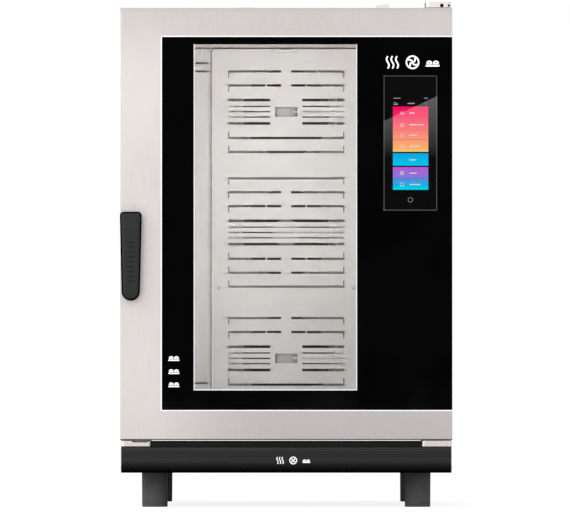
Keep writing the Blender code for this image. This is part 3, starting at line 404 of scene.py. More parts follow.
def cast_brass(name, colour):
    """Machined brass, a little tarnished."""
    graph = Graph(name)
    tarnish = graph.noise(70.0, 6.0, distortion=0.7)
    tone = graph.ramp(tarnish, [(0.35, shade(colour, 0.55)), (0.6, shade(colour, 1.0))])
    rough = graph.ranged(tarnish, 0.3, 0.7, 0.22, 0.48)
    return graph.done(graph.surface(tone, rough, 1.0, graph.bump(tarnish, 0.00005, 0.4)))


def led_diffuser(name):
    """White diffuser bar, lit from inside, brighter at each lamp."""
    graph = Graph(name)
    lamps = graph.add("ShaderNodeTexWave", {"Vector": graph.here, "Scale": 12.0}, bands_direction="Z")
    glow = graph.ranged(lamps.outputs["Fac"], 0.0, 1.0, 1.2, 2.4)
    light = graph.add("ShaderNodeEmission", {"Color": (1.0, 0.95, 0.88, 1.0), "Strength": glow}).outputs[0]
    body = graph.surface((0.9, 0.9, 0.86, 1.0), 0.35)
    return graph.done(graph.add("ShaderNodeMixShader", {0: 0.5, 1: body, 2: light}).outputs[0])


def clear_pane(graph, tint):
    """Shader of a thin clear pane: see-through with a faint Fresnel reflection."""
    through = graph.add("ShaderNodeBsdfTransparent", {"Color": tint}).outputs[0]
    mirror = graph.add("ShaderNodeBsdfGlossy", {"Color": (1.0, 1.0, 1.0, 1.0), "Roughness": 0.02}).outputs[0]
    facing = graph.add("ShaderNodeFresnel", {"IOR": 1.30}).outputs[0]
    return graph.add("ShaderNodeMixShader", {0: facing, 1: through, 2: mirror}).outputs[0]


def clear_glass(name):
    """Inner pane: clear, a trace of green, and thin grease clouds."""
    graph = Graph(name)
    film = graph.noise(7.0, 5.0, distortion=0.8)
    tint = graph.ramp(film, [(0.40, (0.985, 0.995, 0.99, 1.0)), (0.75, (0.955, 0.965, 0.96, 1.0))])
    return graph.done(clear_pane(graph, tint))


def enamelled_glass(name):
    """Outer door glass: black enamel behind, left out over the window and the display."""
    graph = Graph(name)
    window = graph.inside(WINDOW_LEFT, WINDOW_BOTTOM, WINDOW_RIGHT, WINDOW_TOP)
    rim = 0.0001
    display = graph.inside(SCREEN_LOW.x + rim, SCREEN_LOW.z + rim, SCREEN_HIGH.x - rim, SCREEN_HIGH.z - rim)
    opening = graph.math("MAXIMUM", window, display)
    film = graph.noise(5.0, 5.0, distortion=0.7)
    rough = graph.ranged(film, 0.4, 0.75, 0.025, 0.06)
    enamel_colour = graph.ramp(film, [(0.4, (0.0010, 0.0010, 0.0012, 1.0)), (0.8, (0.0022, 0.0020, 0.0022, 1.0))])
    enamel = graph.surface(enamel_colour, rough, 0.0, None, 0.22)
    clear = clear_pane(graph, (0.985, 0.99, 0.99, 1.0))
    # Painted reflection: a slanted glow added over the display's clear glass.
    sheen = graph.add("ShaderNodeAddShader", {0: clear, 1: display_sheen(graph, display)}).outputs[0]
    return graph.done(graph.add("ShaderNodeMixShader", {0: opening, 1: enamel, 2: sheen}).outputs[0])


def display_sheen(graph, display):
    """Painted reflection: a soft slanted glow on the front of the display, brightest under its slanting upper edge."""
    height = SCREEN_HIGH.z - SCREEN_LOW.z
    edge_left, slope, fade_end = SCREEN_LOW.z + 0.660 * height, 0.470, SCREEN_LOW.z + 0.39 * height
    across = graph.math("SUBTRACT", graph.x, SCREEN_LOW.x)
    edge = graph.math("ADD", graph.math("MULTIPLY", across, slope), edge_left)
    below = graph.math("LESS_THAN", graph.z, edge)
    fade = graph.ranged(graph.z, fade_end, SCREEN_HIGH.z - 0.16 * height, 0.0, 0.105)
    front = graph.math("LESS_THAN", graph.y, DOOR_FRONT + 0.001)
    strength = graph.math("MULTIPLY", graph.math("MULTIPLY", below, fade), graph.math("MULTIPLY", display, front))
    return graph.add("ShaderNodeEmission", {"Color": (0.97, 1.0, 1.0, 1.0), "Strength": strength}).outputs[0]


def glowing(name, stops, low, high, strength=1.0):
    """A lit display area whose colour runs from its lower edge to its upper edge."""
    graph = Graph(name)
    up = graph.ranged(graph.z, low, high, 0.0, 1.0)
    pixels = graph.noise(4000.0, 0.0)
    colour = graph.mix(graph.ranged(pixels, 0.3, 0.7, 0.0, 0.04), graph.ramp(up, stops), (0.0, 0.0, 0.0, 1.0))
    light = graph.add("ShaderNodeEmission", {"Color": colour, "Strength": strength}).outputs[0]
    return graph.done(light)


def printed_mark(name, colour):
    """Screen-printed ink with a slightly uneven cover and a faint painted glow."""
    graph = Graph(name)
    cover = graph.noise(700.0, 3.0)
    tone = graph.ramp(cover, [(0.3, shade(colour, 0.92)), (0.7, shade(colour, 1.0))])
    body = graph.surface(tone, 0.5, 0.0, graph.bump(cover, 0.00001, 0.3), 0.2)
    # Painted light: the ink glows faintly, though it is no lamp.
    light = graph.add("ShaderNodeEmission", {"Color": tone, "Strength": 0.35}).outputs[0]
    return graph.done(graph.add("ShaderNodeAddShader", {0: body, 1: light}).outputs[0])


def door_steel(name, colour):
    """Satin door sheet with painted light and shade: painted brightest at the left, a painted shade darker to the right
    of the lower band and on top, and a painted dark shade line along the folds of its upper and lower edge."""
    graph = Graph(name)
    lines = graph.noise(1.0, 3.0, graph.stretched(2200.0, 2200.0, 14.0))
    clouds = graph.noise(2.0, 3.0, distortion=0.6)
    # Painted light and shade: the lower band runs from bright at the left to darker at the right; the top band, and the
    # sheet right of the glass's left edge towards the top, are painted a shade darker.
    across = graph.ranged(graph.x, DOOR_LOW.x, DOOR_HIGH.x, 0.0, 1.0)
    stops = [(0.10, shade(colour, 1.0)), (0.20, shade(colour, 0.90)), (0.31, shade(colour, 0.80)),
             (0.50, shade(colour, 0.735))]
    lower = graph.ramp(across, stops)
    top = graph.ranged(graph.z, DOOR_HIGH.z - 0.150, DOOR_HIGH.z - 0.010, 0.0, 1.0)
    right = graph.ranged(graph.x, GLASS_LOW.x - 0.003, GLASS_LOW.x, 0.0, 1.0)
    upper_half = graph.ranged(graph.z, GLASS_LOW.z, GLASS_HIGH.z, 0.0, 1.0)
    above = graph.math("MAXIMUM", top, graph.math("MULTIPLY", right, upper_half))
    tone = graph.mix(above, lower, shade(colour, 0.88))
    tone = graph.mix(graph.ranged(lines, 0.3, 0.7, 0.0, 0.10), tone, shade(colour, 0.70))
    # Painted shade: a darker band along the top edge and a near-black line along the lower fold.
    rim = graph.ranged(graph.z, DOOR_HIGH.z - 0.012, DOOR_HIGH.z - 0.002, 0.0, 0.30)
    tone = graph.mix(rim, tone, shade(colour, 0.62))
    bottom_fold_painted_shade = graph.ranged(graph.z, DOOR_LOW.z + 0.0020, DOOR_LOW.z + 0.0026, 0.92, 0.0)
    tone = graph.mix(bottom_fold_painted_shade, tone, shade(colour, 0.08))
    rough = graph.ranged(lines, 0.3, 0.7, 0.27, 0.37)
    rough = graph.math("ADD", rough, graph.ranged(clouds, 0.45, 0.75, -0.02, 0.03))
    return graph.done(graph.surface(tone, rough, 1.0, graph.bump(lines, 0.00002, 0.5)))


def bracket_steel(name, colour):
    """Steel of the upper hinge bracket, with painted shade on its left end."""
    low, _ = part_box("hinge_bracket_upper")
    graph = Graph(name)
    lines = graph.noise(1.0, 3.0, graph.stretched(18.0, 1500.0, 1500.0))
    # Painted shade: the left end is darkened towards near black.
    end = graph.ranged(graph.x, low.x + 0.0004, low.x + 0.0030, 0.85, 0.25)
    past_end = graph.ranged(graph.x, low.x + 0.0060, low.x + 0.0080, 1.0, 0.0)
    tone = graph.mix(graph.math("MULTIPLY", end, past_end), colour, shade(colour, 0.06))
    tone = graph.mix(graph.ranged(lines, 0.3, 0.7, 0.0, 0.12), tone, shade(colour, 0.75))
    return graph.done(graph.surface(tone, 0.36, 1.0, graph.bump(lines, 0.00002, 0.5)))


def trim_moulding(name, colour):
    """Black moulding, with painted shade that makes it darker and duller towards its rounded underside."""
    graph = Graph(name)
    grain = graph.noise(1700.0, 4.0)
    streaks = graph.noise(1.0, 3.0, graph.stretched(3.0, 300.0, 300.0))
    # Painted shade: colour and specular fade out towards the underside.
    up = graph.ranged(graph.z, TRIM_LOW.z + 0.002, TRIM_LOW.z + 0.026, 0.0, 1.0)
    tone = graph.ramp(streaks, [(0.35, shade(colour, 0.90)), (0.70, shade(colour, 1.12))])
    tone = graph.mix(up, shade(colour, 0.10), tone)
    specular = graph.math("MULTIPLY", up, 0.24)
    normal = graph.bump(grain, 0.00002, 0.6)
    return graph.done(graph.surface(tone, 0.42, 0.0, normal, specular))


STEEL = (0.83, 0.775, 0.755)
CAVITY_TONE = (0.865, 0.828, 0.815)
WHITE_INK = (0.92, 0.92, 0.92)
FINISHES = {
    "casing_steel": brushed_steel("casing_steel", STEEL, "z", 0.32),
    "cavity_steel": brushed_steel("cavity_steel", CAVITY_TONE, "x", 0.42, 0.50),
    "galvanised_sheet": galvanised_sheet("galvanised_sheet", (0.58, 0.59, 0.61)),
    "dark_steel": heated_steel("dark_steel", (0.12, 0.12, 0.12)),
    "trim_plastic": trim_moulding("trim_plastic", (0.019, 0.019, 0.019)),
    "handle_plastic": moulded_plastic("handle_plastic", (0.014, 0.0145, 0.0150), 0.55, 0.0005, 0.00004, 0.25),
    "foot_plastic": moulded_plastic("foot_plastic", (0.100, 0.100, 0.100), 0.60, 0.0008, 0.00003, 0.15),
    "black_glass": enamelled_glass("black_glass"),
    "clear_glass": clear_glass("clear_glass"),
    "seal_rubber": silicone_rubber("seal_rubber", (0.028, 0.028, 0.030)),
    "mineral_wool": mineral_wool("mineral_wool", (0.62, 0.56, 0.40)),
    "circuit_board": circuit_board("circuit_board", (0.03, 0.16, 0.07)),
    "valve_brass": cast_brass("valve_brass", (0.72, 0.52, 0.22)),
    "led_white": led_diffuser("led_white"),
}
BRIGHT_EDGE = polished_steel("bright_edge", (0.96, 0.95, 0.94), 0.30)
# Painted highlight: edge steel that glows faintly.
EDGE_PAINTED_HIGHLIGHT = polished_steel("edge_painted_highlight", (0.99, 0.98, 0.98), 0.30, 0.30)
RIM_PLASTIC = moulded_plastic("rim_plastic", (0.0020, 0.0020, 0.0022), 0.60, 0.0005, 0.00003, 0.0)
# Painted shade: a darker copy of the trim's black plastic for the gutter, which lies in shade under the door.
GUTTER_PLASTIC = moulded_plastic("gutter_plastic", (0.0090, 0.0090, 0.0090), 0.50, 0.0006, 0.00002, 0.12)
CAP_STEEL = brushed_steel("cap_steel", (0.62, 0.61, 0.60), "x", 0.45, 0.5)
# Painted shade: the fan wheels are made dark so the fan space behind the baffle reads shaded; the heat clouds are the
# steel's own.
FAN_STEEL = heated_steel("fan_steel", (0.20, 0.20, 0.20))
HEATER_STEEL = brushed_steel("heater_steel", (0.66, 0.65, 0.64), "z", 0.50, 0.30)
# Painted shade: a mid-grey for the seal that draws the shade line round the baffle's edge.
SEAL_SHADE_GREY = silicone_rubber("seal_shade_grey", (0.26, 0.25, 0.245))
VENT_STEEL = brushed_steel("vent_steel", shade(STEEL, 1.02), "z", 0.40, 0.6)
# Painted shade: a dark steel for the slot tabs, standing for the shade in the slot legs.
TAB_STEEL = brushed_steel("tab_steel", (0.20, 0.195, 0.19), "x", 0.50, 0.3)
RIDGE_PLASTIC = moulded_plastic("ridge_plastic", (0.0110, 0.0110, 0.0112), 0.55, 0.0005, 0.00003, 0.10)
SCREEN_BLACK = moulded_plastic("screen_black", (0.0008, 0.0008, 0.001), 0.30, 0.0004, 0.00001, 0.05)
WHITE_PRINT = printed_mark("white_print", WHITE_INK)
SCREEN_WHITE = glowing("screen_white", [(0.0, linear(255, 235, 235)), (1.0, linear(255, 240, 245))],
                       SCREEN_LOW.z, SCREEN_HIGH.z, 0.8)
SCREEN_DIM = glowing("screen_dim", [(0.0, linear(165, 168, 170)), (1.0, linear(180, 182, 185))],
                     SCREEN_LOW.z, SCREEN_HIGH.z, 0.8)
SCREEN_GREY = glowing("screen_grey", [(0.0, linear(80, 80, 80)), (1.0, linear(72, 74, 74))],
                      SCREEN_LOW.z, SCREEN_HIGH.z)
# Nodes whose finish isn't that of their slot.
OWN_FINISHES = {
    "door_skin": door_steel("door_steel", STEEL),
    "display_module": SCREEN_BLACK,
    # Painted shade: the gutter takes the darker copy of the trim plastic.
    "drip_gutter": GUTTER_PLASTIC,
    "roof_vent_cowl": VENT_STEEL,
    # Painted light: the bracket's steel is a lightened copy of the casing steel.
    "hinge_bracket_upper": bracket_steel("bracket_steel", shade(STEEL, 1.07)),
    "heating_element_upper": HEATER_STEEL,
    "heating_element_middle": HEATER_STEEL,
    "heating_element_lower": HEATER_STEEL,
}


# ---------------------------------------------------------------- carried-over nodes
def finish_carried_nodes():
    """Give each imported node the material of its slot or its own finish."""
    for part in frame["record"]["subparts"]:
        node = frame["nodes"][part["node"]]
        finish = OWN_FINISHES.get(part["node"], FINISHES[part["material_slot"]])
        for material_slot in node.material_slots:
            material_slot.link = "DATA"
            material_slot.material = finish


def soften(node_name, width, segments=2):
    """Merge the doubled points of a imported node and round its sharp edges."""
    node = frame["nodes"][node_name]
    weld = node.modifiers.new("weld", "WELD")
    weld.merge_threshold = 0.00002
    bevel = node.modifiers.new("soft_edges", "BEVEL")
    bevel.width = width
    bevel.segments = segments
    bevel.limit_method = "ANGLE"
    bevel.angle_limit = math.radians(40)
    bevel.harden_normals = True


def smooth_round(node_name, levels):
    """Merge the doubled points of a packed round tube and subdivide it."""
    node = frame["nodes"][node_name]
    weld = node.modifiers.new("weld", "WELD")
    weld.merge_threshold = 0.00002
    fine = node.modifiers.new("fine", "SUBSURF")
    fine.levels = levels
    fine.render_levels = levels


# ---------------------------------------------------------------- handle
LEVER_X = (LEVER_LOW.x + LEVER_HIGH.x) / 2
LEVER_WIDE = (LEVER_HIGH.x - LEVER_LOW.x) / 2
LEVER_NARROW = LEVER_WIDE - 0.0043
LEVER_CORNER = 0.009
LEVER_BACK = LEVER_LOW.y + 0.022
PIVOT_Z = LEVER_HIGH.z - 0.0304


def lever_outline(inset):
    """Tapered lever: a semicircle at the lower end, two rounded corners on top, drawn in by inset."""
    wide, narrow = LEVER_WIDE - inset, LEVER_NARROW - inset
    corner = max(LEVER_CORNER - inset, 0.0012)
    top, centre_low = LEVER_HIGH.z - inset, LEVER_LOW.z + LEVER_NARROW
    outline = arc(LEVER_X, centre_low, narrow, 180, 360, 24)
    outline += arc(LEVER_X + wide - corner, top - corner, corner, 0, 90, 8)
    outline += arc(LEVER_X - wide + corner, top - corner, corner, 90, 180, 8)
    return outline


def make_handle():
    """Black lever body, a dark grey crowned pad with short grip ridges, and the boss on the door."""
    front = LEVER_LOW.y
    bm = bmesh.new()
    body = [(0.0016, 0.0), (0.0004, -0.0006), (0.0, -0.0020), (0.0, -0.0172), (0.0003, -0.0176),
            (0.0034, -0.0178), (0.0036, -0.0170)]
    add_loft(bm, [(lever_outline(inset), LEVER_BACK + step) for inset, step in body], "y")
    lever = finished("handle_body", bm, RIM_PLASTIC, "handle", 50)

    bm = bmesh.new()
    pad = [(0.0033, 0.0046), (0.0033, 0.0028), (0.0040, 0.0016), (0.0055, 0.0009), (0.0082, 0.0004),
           (0.0110, 0.0003)]
    add_loft(bm, [(lever_outline(inset), front + step) for inset, step in pad], "y")
    finished("handle_pad", bm, FINISHES["handle_plastic"], "handle", 60)

    bm = bmesh.new()
    ridges, pitch, half_width, half_height = 9, 0.0110, 0.0075, 0.0011
    lowest = LEVER_LOW.z + 0.045
    for i in range(ridges):
        z = lowest + i * pitch
        sections = [(rounded(LEVER_X - half_width - grow, z - half_height - grow, LEVER_X + half_width + grow,
                             z + half_height + grow, half_height + grow - 0.0001, 4), front + level)
                    for grow, level in ((0.0004, 0.0006), (0.0003, 0.0001), (0.0, 0.0))]
        add_loft(bm, sections, "y")
    finished("handle_ridges", bm, RIDGE_PLASTIC, "handle", 60)

    seat = DOOR_FRONT - 0.0003
    profile = [(0.0, seat), (0.0182, seat), (0.0188, seat - 0.0008), (0.0188, seat - 0.0030), (0.0170, seat - 0.0042),
               (0.0160, seat - 0.0070), (0.0158, LEVER_BACK + 0.006), (0.0172, LEVER_BACK + 0.001),
               (0.0180, LEVER_BACK - 0.001), (0.0, LEVER_BACK - 0.001)]
    turned_piece("handle_boss", profile, (LEVER_X, 0.0, PIVOT_Z), "y", RIM_PLASTIC, "handle")
    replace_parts(lever, "handle_lever")


# ---------------------------------------------------------------- legs and base trim
def make_legs():
    """Finer leg sleeves, and feet with a thread that shows when they are screwed down."""
    for row in ("front", "rear"):
        for side in ("left", "right"):
            low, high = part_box(f"leg_sleeve_{row}_{side}")
            centre = ((low.x + high.x) / 2, (low.y + high.y) / 2, 0.0)
            bore, radius = 0.0118, (high.x - low.x) / 2
            sleeve = [(bore, low.z), (radius - 0.0010, low.z), (radius - 0.0006, low.z + 0.0004),
                      (radius - 0.0005, low.z + 0.0014), (radius - 0.0004, low.z + 0.012), (radius, high.z - 0.0006),
                      (radius - 0.0004, high.z), (bore, high.z)]
            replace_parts(turned_piece(f"leg_{row}_{side}", sleeve, centre, "z", FINISHES["foot_plastic"],
                                     "cabinet", True), f"leg_sleeve_{row}_{side}")
            pad_top, rim = low.z - 0.0003, radius - 0.0006
            foot = [(0.0, 0.0), (rim - 0.0012, 0.0), (rim - 0.0003, 0.0005), (rim, 0.0014), (rim, pad_top - 0.0006),
                    (rim - 0.0004, pad_top), (0.0104, pad_top)]
            for turn in range(24):
                z = pad_top + 0.0005 + turn * 0.0020
                foot += [(0.0104, z), (0.0094, z + 0.0009), (0.0094, z + 0.0011)]
            foot += [(0.0092, 0.0590), (0.0, 0.0590)]
            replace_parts(turned_piece(f"levelling_foot_{row}_{side}", foot, centre, "z", FINISHES["foot_plastic"],
                                     f"levelling_foot_{row}_{side}"), f"foot_{row}_{side}")


def trim_profile():
    """(y, z) points of the trim: a rounded underside, an upright face with three grooves, a soft top."""
    back, front = TRIM_HIGH.y, TRIM_LOW.y
    bottom, height = TRIM_LOW.z, TRIM_HIGH.z - TRIM_LOW.z
    under, turn_in = 0.48 * height, 0.020
    points = [(back, bottom), (front + turn_in + 0.006, bottom)]
    for i in range(13):
        angle = math.pi / 2 * i / 12
        points.append((front + turn_in * (1 - math.sin(angle)), bottom + under * (1 - math.cos(angle))))
    groove_width, groove_depth = 0.0014, 0.0010
    for share in (0.62, 0.71, 0.80):
        z = bottom + share * height
        points += [(front, z - groove_width / 2), (front + groove_depth, z - groove_width / 4),
                   (front + groove_depth, z + groove_width / 4), (front, z + groove_width / 2)]
    top, soft = bottom + height, 0.0030
    points += [(y, z) for y, z in arc(front + soft, top - soft, soft, 180, 90, 5)]
    points.append((back, top))
    return points


def make_base_trim():
    corner = 0.0035
    back = TRIM_HIGH.y
    depth = back - TRIM_LOW.y
    stations = []
    for share in (0.0, 0.12, 0.3, 0.55, 0.8, 1.0):
        distance = corner * share
        stations.append((distance, corner - math.sqrt(corner ** 2 - (corner - distance) ** 2)))
    left = [(TRIM_LOW.x + distance, setback) for distance, setback in stations]
    right = [(TRIM_HIGH.x - distance, setback) for distance, setback in reversed(stations)]
    sections = []
    for x, setback in left + right:
        squeeze = 1 - setback / depth
        sections.append(([(back + (y - back) * squeeze, z) for y, z in trim_profile()], x))
    bm = bmesh.new()
    add_loft(bm, sections, "x")
    trim = finished("base_trim", bm, FINISHES["trim_plastic"], "cabinet", 28)
    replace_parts(trim, "front_base_trim")


# ---------------------------------------------------------------- door details
def make_glass_edge():
    """Narrow polished steel edge around the glass on its left, top and bottom."""
    width, gap, proud, sunk = 0.0025, 0.0002, 0.0006, 0.0030
    left, low, high, right = GLASS_LOW.x - gap, GLASS_LOW.z - gap, GLASS_HIGH.z + gap, GLASS_HIGH.x
    outline = [(right, low - width), (left - width, low - width), (left - width, high + width),
               (right, high + width), (right, high), (left, high), (left, low), (right, low)]
    bm = bmesh.new()
    add_prism(bm, outline, "y", DOOR_FRONT - proud, DOOR_FRONT + sunk)
    # Painted highlight: the glass edge glows faintly.
    finished("glass_edge", bm, EDGE_PAINTED_HIGHLIGHT, "door")


def make_window_spacer():
    """Bright spacer frame behind the glass; its inner edge shows at the left, right and bottom."""
    back, width, depth, hidden = GLASS_HIGH.y + 0.0003, 0.0024, 0.0050, 0.0040
    outer = rounded(WINDOW_LEFT - hidden, WINDOW_BOTTOM - hidden, WINDOW_RIGHT + hidden,
                    WINDOW_TOP + 2 * hidden, 0.002, 3)
    inner = rounded(WINDOW_LEFT + width, WINDOW_BOTTOM + width, WINDOW_RIGHT - width,
                    WINDOW_TOP + hidden, 0.001, 3)
    bm = bmesh.new()
    add_prism(bm, outer, "y", back, back + depth, [inner])
    # Painted highlight: the spacer's edge glows faintly.
    finished("window_spacer", bm, EDGE_PAINTED_HIGHLIGHT, "door")


def make_door_gasket():
    """Hollow-looking bulb seal: one oval section carried round the cavity opening."""
    low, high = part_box("door_gasket")
    half_width, depth = 0.008, (high.y - low.y) / 2
    middle = (low.y + high.y) / 2
    bm = bmesh.new()
    rings = []
    count = 20
    for k in range(count):
        angle = 2 * math.pi * k / count
        inset = half_width * (1 - math.cos(angle))
        lift = math.copysign(abs(math.sin(angle)) ** 0.7, math.sin(angle))
        outline = rounded(low.x + inset, low.z + inset, high.x - inset, high.z - inset, 0.020 - inset, 8)
        rings.append(ring(bm, outline, "y", middle - depth * lift))
    for first, second in zip(rings, rings[1:] + rings[:1]):
        wall(bm, first, second)
    gasket = finished("bulb_gasket", bm, FINISHES["seal_rubber"], "cabinet", 60)
    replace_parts(gasket, "door_gasket")


def add_screw(bm, centre, axis, sign, radius=0.0042):
    """Button-head screw with a round drive recess, its head standing sign-wards along the axis."""
    height, recess, depth = radius * 0.52, radius * 0.42, radius * 0.32
    profile = [(0.0, -0.0004), (radius, -0.0004), (radius, height * 0.25), (radius * 0.86, height * 0.70),
               (radius * 0.60, height * 0.95), (recess, height), (recess, height - depth), (0.0, height - depth)]
    add_turned(bm, [(r, sign * h) for r, h in profile], centre, axis, 20)


def make_screws(name, centres, axis, sign, body, material, radius=0.0042):
    bm = bmesh.new()
    for centre in centres:
        add_screw(bm, centre, axis, sign, radius)
    return finished(name, bm, material, body)


def steps(low, high, count):
    return [low + (high - low) * i / (count - 1) for i in range(count)]


def make_door_inside():
    """Screws round the inner door frame and the clips that hold the inner glass."""
    low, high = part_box("door_inner_frame")
    glass_low, glass_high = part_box("door_inner_glass")
    face, margin = high.y, 0.018
    places = [(x, face, z) for x in (low.x + margin, high.x - margin) for z in steps(low.z + 0.05, high.z - 0.05, 5)]
    places += [(x, face, z) for x in steps(low.x + 0.14, high.x - 0.14, 3) for z in (low.z + margin, high.z - margin)]
    make_screws("door_frame_screws", places, "y", 1, "door", BRIGHT_EDGE, 0.0038)

    window = 0.235
    bm = bmesh.new()
    for side in (-1, 1):
        for z in (glass_low.z + 0.110, (glass_low.z + glass_high.z) / 2, glass_high.z - 0.110):
            inner, outer = side * (window - 0.009), side * (window + 0.020)
            for grow, back, front in ((0.0, face + 0.0002, face + 0.0020), (-0.002, face + 0.0020, face + 0.0027)):
                outline = rounded(min(inner, outer) - grow, z - 0.011 - grow, max(inner, outer) + grow,
                                  z + 0.011 + grow, 0.004, 4)
                add_prism(bm, outline, "y", back, front)
    finished("inner_glass_clips", bm, FINISHES["cavity_steel"], "door")


# ---------------------------------------------------------------- display
TILE_LEFT = SCREEN_LOW.x + 0.0215
TILE_RIGHT = SCREEN_HIGH.x - 0.0204
ICON_X = SCREEN_LOW.x + 0.0424
LABEL_X = SCREEN_LOW.x + 0.0591
SCREEN_BACK = SCREEN_LOW.y - 0.0001
SCREEN_TILE = SCREEN_BACK - 0.0001
SCREEN_INK = SCREEN_TILE - 0.00006

WARM = [(0.0, linear(255, 215, 120)), (0.06, linear(255, 182, 105)), (0.33, linear(255, 142, 112)),
        (0.55, linear(255, 105, 112)), (0.78, linear(252, 45, 108)), (1.0, linear(242, 0, 90))]
COOL = [(0.0, linear(0, 205, 235)), (0.55, linear(0, 188, 238)), (1.0, linear(0, 165, 225))]
VIOLET = [(0.0, linear(0, 222, 240)), (0.25, linear(10, 180, 232)), (0.45, linear(90, 140, 228)),
          (0.62, linear(148, 120, 220)), (1.0, linear(185, 90, 220))]
# Each block: its name, how far its top lies under the display's top, its row heights, its colours.
TILE_BLOCKS = [
    ("warm", 0.0712, (0.0281, 0.0254, 0.0225, 0.0277), WARM),
    ("cool", 0.1783, (0.0284,), COOL),
    ("violet", 0.2098, (0.0259, 0.0262), VIOLET),
]
LABEL_LENGTHS = {"warm": (0.012, 0.033, 0.017, 0.024), "cool": (0.016,), "violet": (0.017, 0.026)}


def add_ring(bm, x, z, radius, width, low, high, sides=32):
    outer, inner = circle(x, z, radius + width / 2, sides), circle(x, z, radius - width / 2, sides)
    add_prism(bm, outer, "y", low, high, [inner])


def add_row_icon(bm, kind, x, z, size):
    """One line icon of a display row: cloche, cup, cloud, tray, grid or drawer."""
    low, high, line = SCREEN_INK, SCREEN_TILE - 0.00001, 0.0009
    if kind == 0:
        add_stroke(bm, arc(x, z - size * 0.2, size * 0.7, 180, 0), line, low, high)
        add_stroke(bm, [(x - size, z - size * 0.4), (x + size, z - size * 0.4)], line * 1.6, low, high)
    elif kind == 1:
        add_stroke(bm, arc(x, z + size * 0.3, size * 0.8, 180, 360), line, low, high)
        add_stroke(bm, [(x - size * 0.9, z + size * 0.4), (x + size * 0.9, z + size * 0.4)], line, low, high)
        add_stroke(bm, [(x - size, z - size * 0.8), (x + size, z - size * 0.8)], line, low, high)
    elif kind == 2:
        add_stroke(bm, arc(x - size * 0.3, z, size * 0.5, 60, 270), line, low, high)
        add_stroke(bm, arc(x + size * 0.3, z + size * 0.1, size * 0.6, -90, 130), line, low, high)
        add_stroke(bm, [(x - size * 0.3, z - size * 0.5), (x + size * 0.3, z - size * 0.5)], line, low, high)
    elif kind == 3:
        for rise in (-0.55, 0.0):
            add_stroke(bm, [(x - size * 1.3, z + size * rise), (x + size * 1.3, z + size * rise)], line, low, high)
        add_stroke(bm, arc(x, z, size * 0.6, 180, 0), line, low, high)
    else:
        half = size * (0.38 if kind == 4 else 0.85)
        offsets = (-size * 0.5, size * 0.5) if kind == 4 else (0.0,)
        for dx in offsets:
            for dz in offsets:
                box = rounded(x + dx - half, z + dz - half, x + dx + half, z + dz + half, half * 0.4, 3)
                hole = rounded(x + dx - half + line, z + dz - half + line, x + dx + half - line,
                               z + dz + half - line, half * 0.2, 3)
                add_prism(bm, box, "y", low, high, [hole])


def make_display():
    """Lit tiles, line icons, bars in place of words, a status row, the home ring and the bezel."""
    icons, labels, dividers = bmesh.new(), bmesh.new(), bmesh.new()
    kind = 0
    for name, drop, rows, colours in TILE_BLOCKS:
        top = SCREEN_HIGH.z - drop
        bottom = top - sum(rows)
        bm = bmesh.new()
        add_prism(bm, rectangle(TILE_LEFT, bottom, TILE_RIGHT, top), "y", SCREEN_TILE, SCREEN_BACK)
        finished(f"display_tiles_{name}", bm, glowing(f"tiles_{name}", colours, bottom, top), "door")
        row_top = top
        for i, (height, length) in enumerate(zip(rows, LABEL_LENGTHS[name])):
            z = row_top - height / 2 - 0.001
            row_top -= height
            add_prism(labels, rounded(LABEL_X, z - 0.0011, LABEL_X + length, z + 0.0011, 0.0008, 2), "y",
                      SCREEN_INK, SCREEN_TILE - 0.00001)
            if name != "cool":
                add_row_icon(icons, kind, ICON_X, z, 0.0050)
                kind += 1
            if i + 1 < len(rows):
                add_prism(dividers, rectangle(TILE_LEFT + 0.002, row_top - 0.0006, TILE_RIGHT - 0.004, row_top + 0.0006),
                          "y", SCREEN_INK, SCREEN_TILE - 0.00001)
    finished("display_icons", icons, SCREEN_WHITE, "door")
    finished("display_labels", labels, SCREEN_WHITE, "door")
    line_tone = glowing("tile_lines", [(0.0, linear(110, 120, 200)), (0.35, linear(120, 110, 190)),
                                       (0.45, linear(225, 105, 90)), (1.0, linear(225, 60, 100))],
                        SCREEN_LOW.z, SCREEN_HIGH.z)
    finished("display_dividers", dividers, line_tone, "door")

    status = bmesh.new()
    first, second = SCREEN_HIGH.z - 0.0524, SCREEN_HIGH.z - 0.0643
    bars = [(0.0232, 0.0390, first, 0.0008), (0.0930, 0.1015, first, 0.0008), (0.0232, 0.0305, second + 0.002, 0.0005),
            (0.0232, 0.0335, second - 0.0018, 0.0012), (0.0555, 0.0715, second, 0.0013)]
    for start, end, z, half in bars:
        add_prism(status, rectangle(SCREEN_LOW.x + start, z - half, SCREEN_LOW.x + end, z + half), "y",
                  SCREEN_TILE, SCREEN_BACK)
    for dz in (-0.0028, 0.0, 0.0028):
        add_prism(status, circle(SCREEN_LOW.x + 0.0965, second + dz, 0.0007, 8), "y", SCREEN_TILE, SCREEN_BACK)
    finished("display_status", status, SCREEN_DIM, "door")

    bm = bmesh.new()
    centre = (SCREEN_LOW.x + SCREEN_HIGH.x) / 2
    add_ring(bm, centre, SCREEN_LOW.z + 0.0249, 0.0052, 0.0009, SCREEN_TILE, SCREEN_BACK, 40)
    finished("display_home_ring", bm, SCREEN_DIM, "door")

    bm = bmesh.new()
    outer = rounded(SCREEN_LOW.x + 0.0002, SCREEN_LOW.z + 0.0002, SCREEN_HIGH.x - 0.0002, SCREEN_HIGH.z - 0.0002, 0.003, 4)
    width = 0.0024
    inner = rounded(SCREEN_LOW.x + width, SCREEN_LOW.z + width, SCREEN_HIGH.x - width, SCREEN_HIGH.z - width, 0.0015, 4)
    add_prism(bm, outer, "y", SCREEN_TILE, SCREEN_BACK, [inner])
    finished("display_bezel", bm, SCREEN_GREY, "door")


